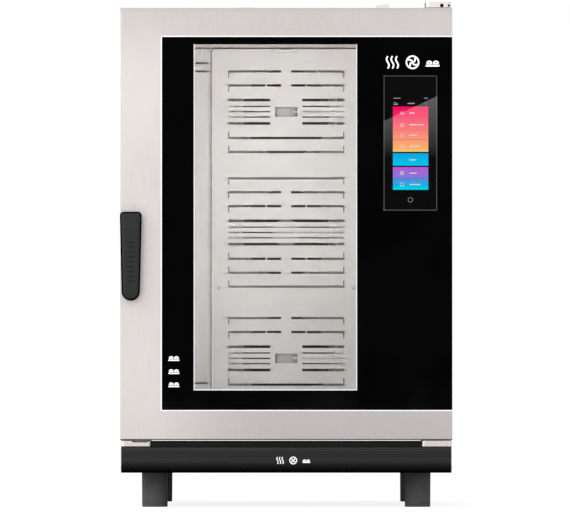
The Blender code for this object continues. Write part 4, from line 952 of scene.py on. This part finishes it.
# ---------------------------------------------------------------- plain marks in place of lettering
MARK_FRONT = DOOR_FRONT - 0.00008
MARK_BACK = DOOR_FRONT + 0.00005


def add_steam(bm, x, z, size, line, low, high):
    """Three rising steam waves."""
    for offset in (-0.34, 0.0, 0.34):
        points = []
        for i in range(17):
            t = i / 16
            points.append((x + size * (offset + 0.09 * math.sin(2 * math.pi * t)), z + size * (t - 0.5) * 0.9))
        add_stroke(bm, points, line, low, high)


def add_fan_sign(bm, x, z, size, line, low, high):
    """A ring with four curved blades."""
    add_ring(bm, x, z, size * 0.45, line, low, high, 40)
    for quarter in range(4):
        start = math.pi / 2 * quarter
        points = []
        for i in range(9):
            t = i / 8
            radius, angle = size * 0.33 * t + size * 0.03, start + 1.1 * t
            points.append((x + radius * math.cos(angle), z + radius * math.sin(angle)))
        add_stroke(bm, points, line, low, high)


def add_tray_sign(bm, x, z, size, line, low, high):
    """Two buns on a tray."""
    add_stroke(bm, [(x - size / 2, z - size * 0.25), (x + size / 2, z - size * 0.25)], line * 1.2, low, high)
    for side in (-1, 1):
        add_stroke(bm, arc(x + side * size * 0.24, z - size * 0.10, size * 0.17, 180, 0), line, low, high)
        foot = [(x + side * size * 0.24 - size * 0.17, z - size * 0.10), (x + side * size * 0.24 + size * 0.17, z - size * 0.10)]
        add_stroke(bm, foot, line * 0.8, low, high)


def make_marks():
    """White cooking signs on the glass and on the base trim."""
    bm = bmesh.new()
    size, line = 0.027, 0.0034
    x, z = GLASS_HIGH.x - 0.137, GLASS_HIGH.z - 0.058
    for i, add_sign in enumerate((add_steam, add_fan_sign, add_tray_sign)):
        add_sign(bm, x + i * 0.046, z, size * 1.15, line, MARK_FRONT, MARK_BACK)
    finished("glass_signs", bm, WHITE_PRINT, "door")

    bm = bmesh.new()
    x, z = GLASS_LOW.x + 0.0274, GLASS_LOW.z + 0.060
    for level in range(3):
        add_tray_sign(bm, x, z + level * 0.030, 0.025, 0.0026, MARK_FRONT, MARK_BACK)
    finished("tray_signs", bm, WHITE_PRINT, "door")

    bm = bmesh.new()
    x, z = (TRIM_LOW.x + TRIM_HIGH.x) / 2 - 0.014, TRIM_LOW.z + 0.0285
    for i, add_sign in enumerate((add_steam, add_fan_sign, add_tray_sign)):
        add_sign(bm, x + i * 0.030, z, 0.0175, 0.0021, TRIM_LOW.y - 0.0001, TRIM_LOW.y + 0.0010)
    finished("trim_signs", bm, WHITE_PRINT, "cabinet")


# ---------------------------------------------------------------- fans and cavity
def make_fan(name):
    """Fan wheel with a back plate, curved blades, a front ring, and a nut with its cap on the shaft."""
    low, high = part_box(f"fan_wheel_{name}")
    z, radius = (low.z + high.z) / 2, (high.x - low.x) / 2
    front, back, shaft = low.y, low.y + 0.0595, 0.006
    centre = (0.0, 0.0, z)
    bm = bmesh.new()
    hub = [(0.0, front + 0.028), (0.020, front + 0.028), (0.022, front + 0.031), (0.022, back - 0.002),
           (radius, back - 0.002), (radius, back), (shaft, back), (shaft, high.y), (0.0, high.y)]
    add_turned(bm, hub, centre, "y")
    rim = [(radius - 0.016, front), (radius, front), (radius, front + 0.0015), (radius - 0.016, front + 0.0015)]
    add_turned(bm, rim, centre, "y", bored=True)
    blades = 24
    for i in range(blades):
        start = 2 * math.pi * i / blades
        points = []
        for step in range(7):
            t = step / 6
            r, angle = 0.062 + (radius - 0.0635) * t, start - 0.30 * t * t
            points.append((r * math.cos(angle), z + r * math.sin(angle)))
        add_stroke(bm, points, 0.0014, front + 0.0014, back - 0.0019)
    # Painted shade: the wheel's dark steel shows the shade inside the fan.
    wheel = finished(f"fan_{name}", bm, FAN_STEEL, f"fan_{name}")
    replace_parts(wheel, f"fan_wheel_{name}")
    cap_profile = [(0.0, front - 0.0056), (0.0290, front - 0.0046), (0.0330, front - 0.0020), (0.0332, front),
                   (0.0110, front + 0.002), (0.0110, front + 0.0285), (0.0, front + 0.0285)]
    turned_piece(f"fan_cap_{name}", cap_profile, centre, "y", CAP_STEEL, f"fan_{name}")


def make_baffle_catch():
    """Spring catch with three rivets at the top of the fan baffle, and the guide's clip beside it."""
    front, top = BAFFLE_LOW.y, BAFFLE_HIGH.z
    bm = bmesh.new()
    low_z = top - 0.008
    sections = [(rounded(-0.0290 - grow, low_z - grow, 0.0270 + grow, top - 0.0006, 0.002, 3), front - level)
                for grow, level in ((0.0015, 0.0), (0.0010, 0.0012), (0.0, 0.0024))]
    add_loft(bm, sections, "y")
    finished("baffle_catch", bm, FINISHES["cavity_steel"], "cabinet")
    places = [(x, front - 0.0024, top - 0.0020) for x in steps(-0.0120, 0.0090, 4)]
    make_screws("baffle_catch_rivets", places, "y", -1, "cabinet", RIM_PLASTIC, 0.0016)

    guide_low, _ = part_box("air_guide_left")
    bm = bmesh.new()
    add_prism(bm, rounded(-0.2035, top - 0.020, -0.1985, top - 0.001, 0.001, 2), "y", guide_low.y - 0.0040, guide_low.y)
    finished("air_guide_clip", bm, BRIGHT_EDGE, "cabinet")


def make_baffle_knobs():
    """Quarter-turn fasteners that hold the baffle, near its four corners."""
    places = [(side * 0.160, BAFFLE_LOW.y, z) for side in (-1, 1) for z in (BAFFLE_LOW.z + 0.030, BAFFLE_LOW.z + 0.300)]
    make_screws("baffle_fasteners", places, "y", -1, "cabinet", BRIGHT_EDGE, 0.0050)


def make_baffle_edge():
    """Grey seal round the baffle that is painted shade along its edge, a bright rolled bead inside it whose glow is a
    painted highlight, a black strip that is painted shade for the gap over its top edge, and a bright rail over that
    strip.
    """
    low, high = BAFFLE_LOW, BAFFLE_HIGH
    front = low.y

    def outline(grow):
        return rounded(low.x - grow, low.z - grow, high.x + grow, high.z + grow, 0.012 + grow, 6)

    # Painted shade: the grey seal strip draws the shade line round the baffle's edge.
    bm = bmesh.new()
    add_prism(bm, outline(0.0016), "y", front - 0.0002, front + 0.0060, [outline(-0.0010)])
    finished("baffle_seal_shade_line", bm, SEAL_SHADE_GREY, "cabinet")

    # Painted highlight: the bead's edge steel glows faintly.
    bm = bmesh.new()
    bead = [(-0.0010, 0.0), (-0.0012, -0.0006), (-0.0020, -0.0010), (-0.0028, -0.0006), (-0.0032, 0.0)]
    rings = [ring(bm, outline(grow), "y", front + level) for grow, level in bead]
    for first, second in zip(rings, rings[1:] + rings[:1]):
        wall(bm, first, second)
    finished("baffle_bead", bm, EDGE_PAINTED_HIGHLIGHT, "cabinet", 50)

    # Painted shade: a black strip stands for the shaded gap over the baffle's top edge.
    bm = bmesh.new()
    height, reach, overlap = 0.0021, 0.2000, 0.0000
    add_prism(bm, rounded(-reach + 0.030, high.z + overlap, reach, high.z + overlap + height, 0.0007, 2), "y",
              front - 0.0016, front - 0.0003)
    finished("baffle_top_gap_shade", bm, RIM_PLASTIC, "cabinet")

    # Painted highlight: a glowing bright rail over the black strip.
    bm = bmesh.new()
    rail = high.z + overlap + height
    add_prism(bm, rounded(0.024 - reach, rail, reach, rail + 0.0024, 0.0007, 2), "y", front - 0.0024, front - 0.0003)
    finished("baffle_top_rail", bm, EDGE_PAINTED_HIGHLIGHT, "cabinet")


def make_slot_tabs():
    """Bent-back tabs in the short legs of the baffle's long slots, dark as painted shade in those legs."""
    reach, width, leg, slot_half = 0.138, 0.0026, 0.012, 0.0027
    front, sheet, play = BAFFLE_LOW.y, 0.0015, 0.0004
    rows = {"upper": (0.0957, 0.0625), "middle": (0.1287, 0.0957, 0.0625), "lower": (0.0957, 0.0625)}
    bm = bmesh.new()
    for name, offsets in rows.items():
        low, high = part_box(f"fan_wheel_{name}")
        centre = (low.z + high.z) / 2
        for offset in offsets:
            for toward in (-1, 1):
                near = centre - toward * (offset - slot_half)
                tip = near + toward * leg
                for side in (-1, 1):
                    outline = rounded(min(side * reach, side * (reach - width)) - play, min(near, tip) - play,
                                      max(side * reach, side * (reach - width)) + play, max(near, tip) + play,
                                      0.0006, 2)
                    add_prism(bm, outline, "y", front + sheet + play, front + sheet + play + 0.0012)
    # Painted shade: the tabs are dark to show the shade in the slot legs.
    finished("baffle_slot_tabs", bm, TAB_STEEL, "cabinet")


def make_gutter_lip():
    """Bright steel strip right under the door, glowing as a painted highlight, on a black rubber strip that stands in
    the gutter's rim and is painted shade for the gap under the door.
    """
    low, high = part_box("drip_gutter")
    left, right, top = low.x + 0.0006, high.x - 0.0006, DOOR_LOW.z - 0.0002
    steel_low = top - 0.0018
    bm = bmesh.new()
    profile = [(low.y - 0.0004, steel_low), (low.y - 0.0004, top - 0.0003), (low.y - 0.0001, top),
               (low.y + 0.0020, top), (low.y + 0.0020, steel_low)]
    add_loft(bm, [(profile, left), (profile, right)], "x")
    # Painted highlight: the lip's edge steel glows faintly.
    finished("gutter_lip", bm, EDGE_PAINTED_HIGHLIGHT, "cabinet")
    bm = bmesh.new()
    profile = [(low.y + 0.0003, high.z + 0.0001), (low.y + 0.0003, steel_low - 0.0001),
               (low.y + 0.0018, steel_low - 0.0001), (low.y + 0.0024, high.z + 0.0001)]
    add_loft(bm, [(profile, left), (profile, right)], "x")
    # Painted shade: the black strip stands for the shaded gap under the door.
    finished("gutter_seal_and_shade", bm, RIM_PLASTIC, "cabinet")


# ---------------------------------------------------------------- back and roof
def add_louvre_hood(bm, x, z, reach):
    """One pressed louvre over a slot: a rounded hood that opens downwards."""
    face, depth, height, sheet, stations = REAR_HIGH.y, 0.0055, 0.0085, 0.0008, 14
    sections = []
    for i in range(stations + 1):
        u = -1 + 2 * i / stations
        reach_out = sheet * 1.6 + (depth - sheet * 1.6) * (1 - abs(u) ** 7)
        outer, inner = [], []
        for k in range(7):
            angle = math.pi / 2 * k / 6
            outer.append((face + reach_out * math.sin(angle), z - height / 2 + height * math.cos(angle)))
            inner.append((face + (reach_out - sheet) * math.sin(angle),
                          z - height / 2 + (height - sheet) * math.cos(angle)))
        sections.append((outer + inner[::-1], x + u * (reach + 0.004)))
    add_loft(bm, sections, "x")


def make_louvre_hoods():
    blocks = {}
    for name in ("upper", "middle", "lower"):
        low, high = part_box(f"fan_wheel_{name}")
        blocks[f"rear_louvres_{name}"] = (0.0, (low.z + high.z) / 2, 0.060)
    low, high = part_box("cooling_fan_housing")
    blocks["rear_louvres_cooling"] = ((low.x + high.x) / 2, (low.z + high.z) / 2, 0.045)
    rows, pitch = 5, 0.016
    for name, (x, z, reach) in blocks.items():
        bm = bmesh.new()
        for row in range(rows):
            add_louvre_hood(bm, x, z + (row - (rows - 1) / 2) * pitch, reach)
        finished(name, bm, FINISHES["casing_steel"], "cabinet", 40)


def make_casing_screws():
    face, margin = REAR_HIGH.y, 0.012
    places = [(x, face, z) for x in (REAR_LOW.x + margin, REAR_HIGH.x - margin)
              for z in steps(REAR_LOW.z + 0.030, REAR_HIGH.z - 0.030, 6)]
    places += [(x, face, z) for x in steps(-0.24, 0.24, 4) for z in (REAR_LOW.z + margin, REAR_HIGH.z - margin)]
    make_screws("rear_panel_screws", places, "y", 1, "cabinet", BRIGHT_EDGE)
    for side, sign in (("left", -1), ("right", 1)):
        low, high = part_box(f"side_panel_{side}")
        places = [(sign * high.x if sign > 0 else low.x, y, low.z + 0.012) for y in steps(low.y + 0.04, high.y - 0.03, 5)]
        places += [(high.x if sign > 0 else low.x, high.y - 0.012, z) for z in steps(low.z + 0.15, high.z - 0.15, 4)]
        make_screws(f"side_panel_screws_{side}", places, "x", sign, "cabinet", BRIGHT_EDGE, 0.0038)
    places = [(x, ROOF_HIGH.y - 0.014, ROOF_HIGH.z) for x in steps(-0.34, 0.34, 5)]
    make_screws("roof_screws", places, "z", 1, "cabinet", BRIGHT_EDGE)


def make_hinge_screws():
    """Two bolts on the upper hinge bracket, and the two set screws in its front edge."""
    low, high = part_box("hinge_bracket_upper")
    bolts = [(0.3470, y, high.z) for y in (-0.365, -0.340)]
    make_screws("hinge_bolts", bolts, "z", 1, "cabinet", FINISHES["dark_steel"], 0.0058)
    bm = bmesh.new()
    level = (low.z + high.z) / 2 - 0.0018
    for x, radius in ((0.3562, 0.0042), (0.3722, 0.0026)):
        add_screw(bm, (x, low.y, level), "y", -1, radius)
    finished("hinge_set_screws", bm, RIM_PLASTIC, "cabinet")


def make_exhaust():
    """Round exhaust pipe with a rolled rim, and the damper disc with its shaft."""
    low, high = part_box("exhaust_chimney")
    x, y = (low.x + high.x) / 2, (low.y + high.y) / 2
    bore = (high.x - low.x) / 2 - 0.0038
    outer = bore + 0.0018
    profile = [(bore, low.z), (outer, low.z), (outer, high.z - 0.0048)]
    profile += [(outer + 0.0002 + r, z) for r, z in arc(0.0, high.z - 0.0024, 0.0018, -80, 90, 8)]
    profile += [(bore + 0.0004, high.z - 0.0006), (bore, high.z - 0.0012)]
    pipe = turned_piece("exhaust_pipe", profile, (x, y, 0.0), "z", FINISHES["cavity_steel"], "cabinet", True)
    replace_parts(pipe, "exhaust_chimney")
    low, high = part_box("exhaust_damper")
    z = (low.z + high.z) / 2
    disc, shaft = bore - 0.0012, 0.0019
    bm = bmesh.new()
    profile = [(0.0, z - 0.0009), (disc - 0.0004, z - 0.0009), (disc, z), (disc - 0.0004, z + 0.0009), (0.0, z + 0.0009)]
    add_turned(bm, profile, (x, y, 0.0), "z")
    add_turned(bm, [(0.0, low.x), (shaft, low.x + 0.0003), (shaft, high.x - 0.0003), (0.0, high.x)], (0.0, y, z), "x", 24)
    damper = finished("damper_disc", bm, FINISHES["cavity_steel"], "damper")
    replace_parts(damper, "exhaust_damper")


# ---------------------------------------------------------------- stage
def make_floor():
    graph = Graph("studio_floor")
    speckle = graph.noise(3.0, 3.0)
    tone = graph.ramp(speckle, [(0.3, (0.20, 0.20, 0.20, 1.0)), (0.7, (0.22, 0.22, 0.22, 1.0))])
    body = graph.surface(tone, 0.9, 0.0, None, 0.0)
    seen = graph.add("ShaderNodeLightPath").outputs["Is Camera Ray"]
    away = graph.add("ShaderNodeVectorMath", {0: graph.here}, operation="LENGTH").outputs["Value"]
    around = graph.ranged(away, 0.7, 1.8, 0.0, 0.80)
    glow = graph.math("MAXIMUM", graph.math("MULTIPLY", seen, 0.86), around)
    light = graph.add("ShaderNodeEmission", {"Color": (1.0, 1.0, 1.0, 1.0), "Strength": glow}).outputs[0]
    material = graph.done(graph.add("ShaderNodeAddShader", {0: body, 1: light}).outputs[0])
    half = 30.0
    mesh = bpy.data.meshes.new("studio_floor")
    mesh.from_pydata([(x, y, 0.0) for x, y in rectangle(-half, -half, half, half)], [], [(0, 1, 2, 3)])
    mesh.materials.append(material)
    floor = bpy.data.objects.new("studio_floor", mesh)
    bpy.context.scene.collection.objects.link(floor)


def make_world():
    """White to the camera; for light and reflections soft white, with a dark gap behind the camera."""
    world = bpy.data.worlds.new("studio")
    bpy.context.scene.world = world
    world.use_nodes = True
    nodes, links = world.node_tree.nodes, world.node_tree.links
    nodes.clear()
    direction = nodes.new("ShaderNodeTexCoord").outputs["Generated"]
    parts = nodes.new("ShaderNodeSeparateXYZ")
    links.new(direction, parts.inputs[0])

    def ranged(value, low, high, to_low, to_high):
        node = nodes.new("ShaderNodeMapRange")
        links.new(value, node.inputs["Value"])
        for key, number in (("From Min", low), ("From Max", high), ("To Min", to_low), ("To Max", to_high)):
            node.inputs[key].default_value = number
        return node.outputs[0]

    def times(first, second):
        node = nodes.new("ShaderNodeMath")
        node.operation = "MULTIPLY"
        links.new(first, node.inputs[0])
        links.new(second, node.inputs[1])
        return node.outputs[0]

    sideways = ranged(parts.outputs["X"], -1.0, 1.0, 1.60, 0.80)
    upward = ranged(parts.outputs["Z"], -0.2, 0.3, 0.90, 0.95)
    overhead = ranged(parts.outputs["Z"], 0.55, 0.95, 1.0, 0.62)
    behind = ranged(parts.outputs["Y"], 0.2, 0.9, 1.0, 0.66)
    gap = ranged(parts.outputs["Y"], -0.9985, -0.9900, 0.02, 1.0)
    strength = times(times(times(sideways, upward), times(overhead, behind)), gap)
    soft = nodes.new("ShaderNodeBackground")
    soft.inputs["Color"].default_value = (1.0, 1.0, 1.0, 1.0)
    links.new(strength, soft.inputs["Strength"])
    white = nodes.new("ShaderNodeBackground")
    white.inputs["Color"].default_value = (1.0, 1.0, 1.0, 1.0)
    choice = nodes.new("ShaderNodeMixShader")
    links.new(nodes.new("ShaderNodeLightPath").outputs["Is Camera Ray"], choice.inputs[0])
    links.new(soft.outputs[0], choice.inputs[1])
    links.new(white.outputs[0], choice.inputs[2])
    links.new(choice.outputs[0], nodes.new("ShaderNodeOutputWorld").inputs[0])


def add_area_light(name, at, towards, size, power, colour=(1.0, 1.0, 1.0)):
    data = bpy.data.lights.new(name, "AREA")
    data.shape = "RECTANGLE"
    data.size, data.size_y = size
    data.energy = power
    data.color = colour
    light = bpy.data.objects.new(name, data)
    light.location = at
    light.rotation_euler = (Vector(towards) - Vector(at)).to_track_quat("-Z", "Y").to_euler()
    light.visible_camera = False
    light.visible_glossy = False
    bpy.context.scene.collection.objects.link(light)
    return light


def make_lights():
    middle = (0.0, DOOR_FRONT, 0.65)
    key = add_area_light("key_softbox", (-2.6, -3.4, 2.2), middle, (2.0, 2.0), 60.0)
    key.visible_glossy = True
    add_area_light("fill_softbox", (3.0, -3.0, 1.4), middle, (2.0, 2.4), 18.0)
    inside = (0.0, BAFFLE_LOW.y, 0.72)
    warm = (1.0, 0.985, 0.980)
    add_area_light("cavity_top_light", (0.0, -0.345, 1.060), inside, (0.40, 0.04), 1.05, warm)
    add_area_light("cavity_left_light", (-0.205, -0.365, 0.66), inside, (0.03, 0.72), 1.75, warm)
    add_area_light("cavity_right_light", (0.205, -0.365, 0.84), (-0.05, BAFFLE_LOW.y, 0.90), (0.03, 0.36), 0.50, warm)
    back_wall = (0.0, BAFFLE_HIGH.y + 0.10, 0.64)
    add_area_light("fan_space_light", (0.0, BAFFLE_HIGH.y + 0.001, 0.64), back_wall, (0.30, 0.84), 0.34, warm)


def make_camera():
    """Long lens, held low: level with about a quarter of the oven's height, and tilted up a little."""
    horizon, distance, lens = 0.315, 19.0, 524.6
    data = bpy.data.cameras.new("camera")
    data.lens = lens
    data.sensor_width = 36.0
    data.clip_end = 100.0
    camera = bpy.data.objects.new("camera", data)
    camera.location = (0.0, DOOR_FRONT - distance, horizon)
    aim = Vector((-0.0028, DOOR_FRONT, 0.5740))
    camera.rotation_euler = (aim - camera.location).to_track_quat("-Z", "Y").to_euler()
    bpy.context.scene.collection.objects.link(camera)
    bpy.context.scene.camera = camera


def build_looks():
    finish_carried_nodes()
    for node_name in ("door_skin", "door_inner_frame", "side_panel_left", "side_panel_right", "roof_panel",
                      "front_frame", "air_guide_left", "air_guide_right"):
        soften(node_name, 0.0006)
    for node_name in ("hinge_bracket_upper", "hinge_bracket_lower", "drip_gutter", "roof_vent_cowl",
                      "outer_glass_carrier"):
        soften(node_name, 0.0008)
    for node_name in ("rack_left", "rack_right", "drain_strainer"):
        soften(node_name, 0.0004, 1)
    for name in ("upper", "middle", "lower"):
        smooth_round(f"heating_element_{name}", 1)
        make_fan(name)
    make_handle()
    make_legs()
    make_base_trim()
    make_glass_edge()
    make_window_spacer()
    make_door_gasket()
    make_door_inside()
    make_display()
    make_marks()
    make_baffle_catch()
    make_baffle_knobs()
    make_baffle_edge()
    make_slot_tabs()
    make_gutter_lip()
    make_louvre_hoods()
    make_casing_screws()
    make_hinge_screws()
    make_exhaust()
    make_floor()
    make_world()
    make_lights()
    make_camera()
    bpy.context.scene.view_settings.view_transform = "Standard"


build_looks()
